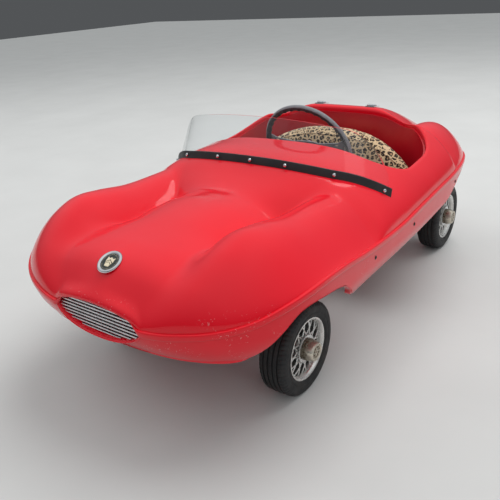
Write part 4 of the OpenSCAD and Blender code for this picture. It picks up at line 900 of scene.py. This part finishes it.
holes = [oval(sx * (reach - 22), 14 * k - 4, 5.0, 2.6) for sx in (-1, 1) for k in (-1, 0, 1)]
spoke_grey = finish_of("spoke_grey", (0.20, 0.20, 0.215), rough=0.38, tone=0.12, dirt=0.08)
plate("wheel_spoke_plate", [arm] + holes, 0, 3.0, 0.7, in_column, "steering", "grey_plastic",
      "steering_wheel_spokes", look=spoke_grey)
boss = rounded([[7, -26], [15, -26], [17, -24], [17, -2], [22, 0], [22, 4], [7, 4]], 0.8, 3)
p, f = lathe(boss, 144, ripple=lambda r, z, t: r - 1.1 * (np.cos(t * 18) > 0.2) * ((z < -3) & (z > -23) & (r > 14)))
piece("wheel_boss", in_column(p), f, "steering", "grey_plastic", "steering_wheel_spokes", look=grip_dark)
cap_section = [[0.01, 0], [20, 0], [20.4, 0.8], [20.4, 2.6], [19.4, 4.2], [18.2, 6.6], [15.8, 9.2], [12, 10.9],
               [7, 11.9], [0.01, 12.3]]
p, f = lathe(rounded(cap_section, 0.8, 3), 96)
piece("wheel_cap", in_column(p + [0, 0, 4]), f, "steering", "chrome_trim", "steering_wheel_cap")


# ---------------------------------------------------------------- road wheels
CORNERS = {"front_left": (1, "wheel_front_left"), "front_right": (-1, "wheel_front_right"),
           "rear_left": (1, "rear_axle_set"), "rear_right": (-1, "wheel_rear_right")}


def tyre_profile():
    """Half of the tyre's section from the bead to the tread, its four ribs, and the half mirrored."""
    pts = [[63, -25], [69, -29], [72, -30.4], [76, -31], [78, -30.2], [80, -31], [86, -30.8], [88, -30.0],
           [90, -30.2], [95, -27.5], [97.6, -25.6], [99, -23]]
    for x in (-16, -5.4, 5.4, 16):
        top = 99.6 if abs(x) > 10 else 100
        pts += [[top, x - 2.2], [99.2, x - 1.5], [96.8, x - 1.3], [96.8, x + 1.3], [99.2, x + 1.5], [top, x + 2.2]]
    pts += [[r, -z] for r, z in pts[11::-1]]
    return np.array(pts, float)


def tread(r, z, t):
    """Shoulder lugs and fine cuts across the ribs."""
    lug = (np.cos(t * 64 + np.sign(z) * 0.8) > 0.55) & (np.abs(z) > 21.5) & (r > 93)
    sipe = (np.cos(t * 64 + z * 0.35) > 0.9) & (np.abs(z) < 21) & (r > 99)
    return r - 1.5 * lug - 0.5 * sipe


SPOKE_PAIRS = 12
for key, (side, body) in CORNERS.items():
    centre = sum(box_mm("tyre_" + key)) / 2

    def at(points):
        """From the wheel's own frame, +Z outward, to its corner of the car."""
        p = np.asarray(points, float).reshape(-1, 3)
        return np.stack([p[:, 2] * side, p[:, 1], -p[:, 0]], -1) + centre

    p, f = lathe(tyre_profile(), 512, ripple=tread)
    piece("tyre_body_" + key, at(p), f, body, "tyre_rubber", "tyre_" + key, angle=40)
    ring = [[57, -23.6], [62.6, -23.6], [62.6, 23.6], [66.0, 25.4], [67, 26.4], [66.6, 27.6], [64.4, 27.9],
            [62.5, 27.0], [59.4, 22.0], [58.4, 18.5], [57, 14]]
    p, f = lathe(rounded(ring, [0.5, 0.5, 0.6, 0.8, 0.8, 0.9, 0.9, 1.4, 2.2, 1.4, 0.5], 4), 160)
    piece("rim_ring_" + key, at(p), f, body, "wheel_alloy", "rim_" + key)
    wires = []
    for i in range(SPOKE_PAIRS):
        for lean in (-1, 1):
            a0 = math.radians(i * 360 / SPOKE_PAIRS - lean * 13.0)
            a1 = math.radians(i * 360 / SPOKE_PAIRS + lean * 7.5)
            p0 = np.array([28 * math.cos(a0), 28 * math.sin(a0), 17.5])
            p1 = np.array([58.8 * math.cos(a1), 58.8 * math.sin(a1), 15.0])
            bow = [[0, 0, 1.6 * math.sin(PI * k) + 0.3 * lean] for k in np.linspace(0, 1, 6)]
            wires.append(tube([p0 + (p1 - p0) * k + b for k, b in zip(np.linspace(0, 1, 6), bow)], 1.9, 8))
    collar = lathe(rounded([[23.8, 12], [32, 12], [32, 16.2], [23.8, 16.2]], 0.8, 3), 96)
    p, f = join(wires + [collar])
    piece("rim_wires_" + key, at(p), f, body, "wheel_alloy", "rim_" + key, angle=50)
    # A dark disc behind the spokes: painted shade for the dark seen between the wires.
    shade_disc = lathe(rounded([[24, 3.0], [58, 3.0], [58, 6.0], [24, 6.0]], 0.6, 3), 96)
    piece("rim_shade_disc_" + key, at(shade_disc[0]), shade_disc[1], body, "wheel_alloy", "rim_" + key, look=matt_black_and_shade)
    knurl = rounded([[6.05, 16.3], [27, 16.3], [30, 17.0], [30, 23.6], [28.8, 24.2], [24, 24.2], [6.05, 24.2]],
                    0.5, 3)
    barrel = rounded([[6.05, -34.5], [16, -34.5], [16, -29.5], [11, -28.5], [11, 8], [23.6, 8], [23.6, 15.9],
                      [6.05, 15.9]], 0.6, 3)
    hub = join([lathe(knurl, 288, ripple=lambda r, z, t: r - 0.9 * (np.cos(t * 72) < 0) * (r > 28)),
                lathe(barrel, 72),
                lathe(rounded([[6.05, 24.0], [11, 24.0], [11, 30], [6.05, 30]], 0.4, 3), 48)])
    piece("hub_drum_" + key, at(hub[0]), hub[1], body, "hub_alloy", "hub_" + key)
    cup = rounded([[11.7, 24.5], [22.8, 24.5], [23, 31], [21.6, 38], [20.2, 44.4], [18.6, 47.9], [17.0, 48.4],
                   [15.8, 46.9], [15.6, 46.2], [11.7, 46.2]], 0.8, 4)
    p, f = lathe(cup, 144, ripple=lambda r, z, t: r - 0.45 * (np.cos(t * 40) < 0) * (r > 20) * (z > 26) * (z < 36))
    # The cup's stored height is a ramp along it, so it darkens towards the hub: painted shade where the cup meets
    # the hub.
    piece("cap_cup_" + key, at(p), f, body, "cap_gold", "cap_" + key, relief=np.clip((p[:, 2] - 24) / 24, 0.2, 1))
    rr = np.linspace(0.01, 16.4, 44)
    aa = np.arange(120) * 2 * PI / 120
    R, A = np.meshgrid(rr, aa, indexing="ij")
    rays = smooth((np.cos(A * 8) * 3.2 + 8.6 - R) / 2.2) * smooth((R - 1.2) / 0.8)
    beads = smooth((0.5 + 0.5 * np.cos(A * 28) - 0.35) / 0.3) * smooth((1.5 - np.abs(R - 13.4)) / 0.6)
    relief = np.clip(rays * (0.65 + 0.35 * np.cos(A * 16)) + 0.8 * beads + 0.5 * smooth((1.6 - R) / 0.5), 0, 1)
    p = np.stack([R * np.cos(A), R * np.sin(A), 46.0 + 1.5 * relief], -1).reshape(-1, 3)
    piece("cap_medallion_" + key, at(p), grid_faces(44, 120, False, True), body, "cap_gold", "cap_" + key,
          relief=relief, weld=False, angle=60)


# ---------------------------------------------------------------- drive chain, a link at a time
front_c, rear_c = (sum(box_mm(node))[1:] / 2 for node in ("chainring", "rear_sprocket"))
PITCH, FRONT_TEETH, REAR_TEETH = 12.7, 16, 12
r_front, r_rear = (PITCH / (2 * math.sin(PI / teeth)) for teeth in (FRONT_TEETH, REAR_TEETH))
line = rear_c - front_c
span = float(np.hypot(*line))
tilt = math.atan2(line[1], line[0])
wrap = math.asin((r_front - r_rear) / span)
path = np.array([mid + r * np.array([math.cos(tilt + k), math.sin(tilt + k)])
                 for mid, r, k0, k1 in ((front_c, r_front, PI / 2 - wrap, 1.5 * PI + wrap),
                                        (rear_c, r_rear, -PI / 2 + wrap, PI / 2 - wrap))
                 for k in np.linspace(k0, k1, 40)])
loop = np.concatenate([path, path[:1]])
length = np.concatenate([[0], np.cumsum(np.linalg.norm(np.diff(loop, axis=0), axis=1))])
links = 2 * round(length[-1] / PITCH / 2)
at_len = np.arange(links) * length[-1] / links
pins = np.stack([np.interp(at_len, length, loop[:, 0]), np.interp(at_len, length, loop[:, 1])], -1)
chain_x = sum(box_mm("drive_chain"))[0] / 2
parts = []
for i in range(links):
    a, b = pins[i], pins[(i + 1) % links]
    d = (b - a) / np.linalg.norm(b - a)
    n = np.array([-d[1], d[0]])
    ang = np.linspace(PI / 2, 1.5 * PI, 6)
    edge = [a + 3.7 * (math.cos(k) * d + math.sin(k) * n) for k in ang] + [(a + b) / 2 - 2.6 * n]
    edge += [b - 3.7 * (math.cos(k) * d + math.sin(k) * n) for k in ang] + [(a + b) / 2 + 2.6 * n]
    for s in (-1, 1):
        x0 = chain_x + s * (2.0 if i % 2 else 2.75)
        m = len(edge)
        pts = [[x0 - 0.35, *q] for q in edge] + [[x0 + 0.35, *q] for q in edge]
        sides = [[j, (j + 1) % m, m + (j + 1) % m, m + j] for j in range(m)]
        parts.append((pts, [list(range(m)), [m + j for j in range(m)]] + sides))
    parts.append(tube([[chain_x - 1.7, *a], [chain_x + 1.7, *a]], 3.6, 10))
    parts.append(tube([[chain_x - 3.4, *a], [chain_x + 3.4, *a]], 1.4, 8))
piece("chain_links", *join(parts), "car", "bare_steel", "drive_chain", angle=30)


# ---------------------------------------------------------------- pedals with ribbed pads
for key in ("pedal_left", "pedal_right"):
    lo, hi = box_mm(key)
    mid = (lo + hi) / 2
    pads = []
    for dy in (-18, 18):
        ribs = [7 * (1 if k % 2 else 0.9) for k in range(20)]
        section = [[r * math.cos(k * PI / 10), r * math.sin(k * PI / 10)] for k, r in enumerate(ribs)]
        x = np.array([lo[0], lo[0] + 1, hi[0] - 1, hi[0]])
        scale = np.array([0.85, 1, 1, 0.85])
        pts = np.stack([np.stack([x, mid[1] + dy + a * scale, mid[2] + b * scale], -1) for a, b in section], 1)
        pads.append(loft(pts))
    for x0 in (lo[0] + 1, hi[0] - 6):
        pads.append(block([x0, mid[1] - 18, mid[2] - 4], [x0 + 5, mid[1] + 18, mid[2] + 4], 1))
    sleeve = lathe(rounded([[5.05, lo[0]], [9.5, lo[0]], [9.5, hi[0]], [5.05, hi[0]]], 0.8, 3), 40)
    pads.append((np.stack([sleeve[0][:, 2], mid[1] + sleeve[0][:, 0], mid[2] + sleeve[0][:, 1]], -1), sleeve[1]))
    piece(key + "_pad", *join(pads), key, "pedal_rubber", key)


# ---------------------------------------------------------------- cushions
def puffed(node, name, voxel, pressure, limit):
    obj = frame["nodes"][node].copy()
    obj.data = obj.data.copy()
    obj.name = name
    obj.parent = None
    obj.matrix_world = Matrix.Identity(4)
    for extra in [key for key in obj.keys() if key.startswith("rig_")]:
        del obj[extra]
    bpy.context.scene.collection.objects.link(obj)
    remesh = obj.modifiers.new("remesh", "REMESH")
    remesh.mode, remesh.voxel_size = "VOXEL", voxel
    soften = obj.modifiers.new("soften", "SMOOTH")
    soften.factor, soften.iterations = 0.5, 3
    baked(obj)
    rest = np.array([v.co[:] for v in obj.data.vertices])
    cloth = obj.modifiers.new("cloth", "CLOTH")
    cloth.settings.quality = 6
    cloth.settings.mass = 0.25
    cloth.settings.use_pressure = True
    cloth.settings.uniform_pressure_force = pressure
    cloth.settings.effector_weights.gravity = 0
    cloth.point_cache.frame_start, cloth.point_cache.frame_end = 1, 20
    for step in range(1, 21):
        bpy.context.scene.frame_set(step)
    baked(obj)
    bpy.context.scene.frame_set(1)
    moved = np.array([v.co[:] for v in obj.data.vertices]) - rest
    far = np.linalg.norm(moved, axis=1)
    moved *= np.minimum(1, limit / np.maximum(far, 1e-9))[:, None]
    obj.data.vertices.foreach_set("co", (rest + moved).ravel())
    fine = obj.modifiers.new("fine", "SUBSURF")
    fine.levels = fine.render_levels = 1
    baked(obj)
    return obj


for node, name in (("seat_base", "seat_cushion"), ("seat_back", "back_cushion")):
    cushion = puffed(node, name, 0.005, 4.0, 0.006)
    settle(cushion, "car", "leopard_cloth", node, angle=80)
    # piping along the front edge of the cover, laid on the finished surface
    cover = cushion.data
    tree = BVHTree.FromPolygons([v.co[:] for v in cover.vertices], [q.vertices[:] for q in cover.polygons])
    lo, hi = box_mm(node)
    if node == "seat_back":
        xx = 232 * np.sin(np.linspace(-PI / 2, PI / 2, 120))
        zz = 410 - 84 * (np.abs(xx) / 238) ** 2.4 - 14
        wanted = [[x, lo[1] + 30, z] for x, z in zip(xx, zz)]
    else:
        wanted = [[x, lo[1], lo[2] + 24] for x in np.linspace(-205, 205, 80)]
    line = []
    for q in wanted:
        spot, normal, _, _ = tree.find_nearest(Vector(q) * MM)
        line.append(np.array(spot + normal * 0.0006) / MM)
    line = np.array(line)
    for _ in range(3):
        line[1:-1] = (line[:-2] + line[1:-1] * 2 + line[2:]) / 4
    p, f = tube(line, 2.2, 10)
    piece(name + "_piping", p, f, "car", "leopard_cloth", node, angle=60)


# ---------------------------------------------------------------- finish of the CAD nodes that stay
slots = {part["node"]: part["material_slot"] for part in frame["record"]["subparts"]}
for node, obj in frame["nodes"].items():
    if not obj.hide_render:
        obj.data.materials.clear()
        obj.data.materials.append(looks[slots[node]])

# ---------------------------------------------------------------- stage, light and camera
floor_mesh = bpy.data.meshes.new("floor")
floor_mesh.from_pydata([(-12, -12, 0), (12, -12, 0), (12, 12, 0), (-12, 12, 0)], [], [(0, 1, 2, 3)])
floor = bpy.data.objects.new("floor", floor_mesh)
bpy.context.scene.collection.objects.link(floor)
floor_look = finish_of("floor_pale", (0.55, 0.55, 0.54), rough=0.75, tone=0.03, tone_scale=3, bump=0.02)
floor.data.materials.append(floor_look)

world = bpy.data.worlds.new("studio")
bpy.context.scene.world = world
world.use_nodes = True
sky = world.node_tree.nodes["Background"]
tree = world.node_tree
where = tree.nodes.new("ShaderNodeSeparateXYZ")
tree.links.new(tree.nodes.new("ShaderNodeTexCoord").outputs["Generated"], where.inputs[0])
ramp = tree.nodes.new("ShaderNodeValToRGB")
ramp.color_ramp.elements[0].position, ramp.color_ramp.elements[0].color = 0.0, (0.10, 0.105, 0.11, 1)
ramp.color_ramp.elements[1].position, ramp.color_ramp.elements[1].color = 0.9, (0.97, 1.0, 1.0, 1)
middle = ramp.color_ramp.elements.new(0.35)
middle.color = (0.42, 0.44, 0.47, 1)
tree.links.new(where.outputs["Z"], ramp.inputs[0])
tree.links.new(ramp.outputs[0], sky.inputs["Color"])
sky.inputs["Strength"].default_value = 0.85
bpy.context.scene.view_settings.view_transform = "Standard"


def lamp(name, at, size, power, aim=(0, 0, 0.3)):
    light = bpy.data.lights.new(name, "AREA")
    light.shape, light.size, light.energy = "DISK", size, power
    obj = bpy.data.objects.new(name, light)
    bpy.context.scene.collection.objects.link(obj)
    obj.location = at
    obj.visible_glossy = False
    obj.rotation_euler = (Vector(aim) - Vector(at)).to_track_quat("-Z", "Y").to_euler()
    return obj


lamp("key", (0.9, 1.9, 4.4), 4.2, 165)
lamp("fill", (3.2, -2.9, 3.2), 3.4, 34)
lamp("side", (-3.8, -0.6, 3.0), 3.4, 40)

azimuth, elevation, roll = (math.radians(v) for v in (36.82, 24.1, -3.6))
back = Vector((math.sin(azimuth) * math.cos(elevation), -math.cos(azimuth) * math.cos(elevation),
               math.sin(elevation)))
right = (-back).cross(Vector((0, 0, 1))).normalized()
up = right.cross(-back)
right, up = math.cos(roll) * right + math.sin(roll) * up, -math.sin(roll) * right + math.cos(roll) * up
camera = bpy.data.objects.new("camera", bpy.data.cameras.new("camera"))
bpy.context.scene.collection.objects.link(camera)
camera.data.sensor_width, camera.data.lens = 36, 42.35
turned = Matrix((right, up, back)).transposed().to_4x4()
camera.matrix_world = Matrix.Translation((0.7728, -1.2217, 0.7732)) @ turned
bpy.context.scene.camera = camera
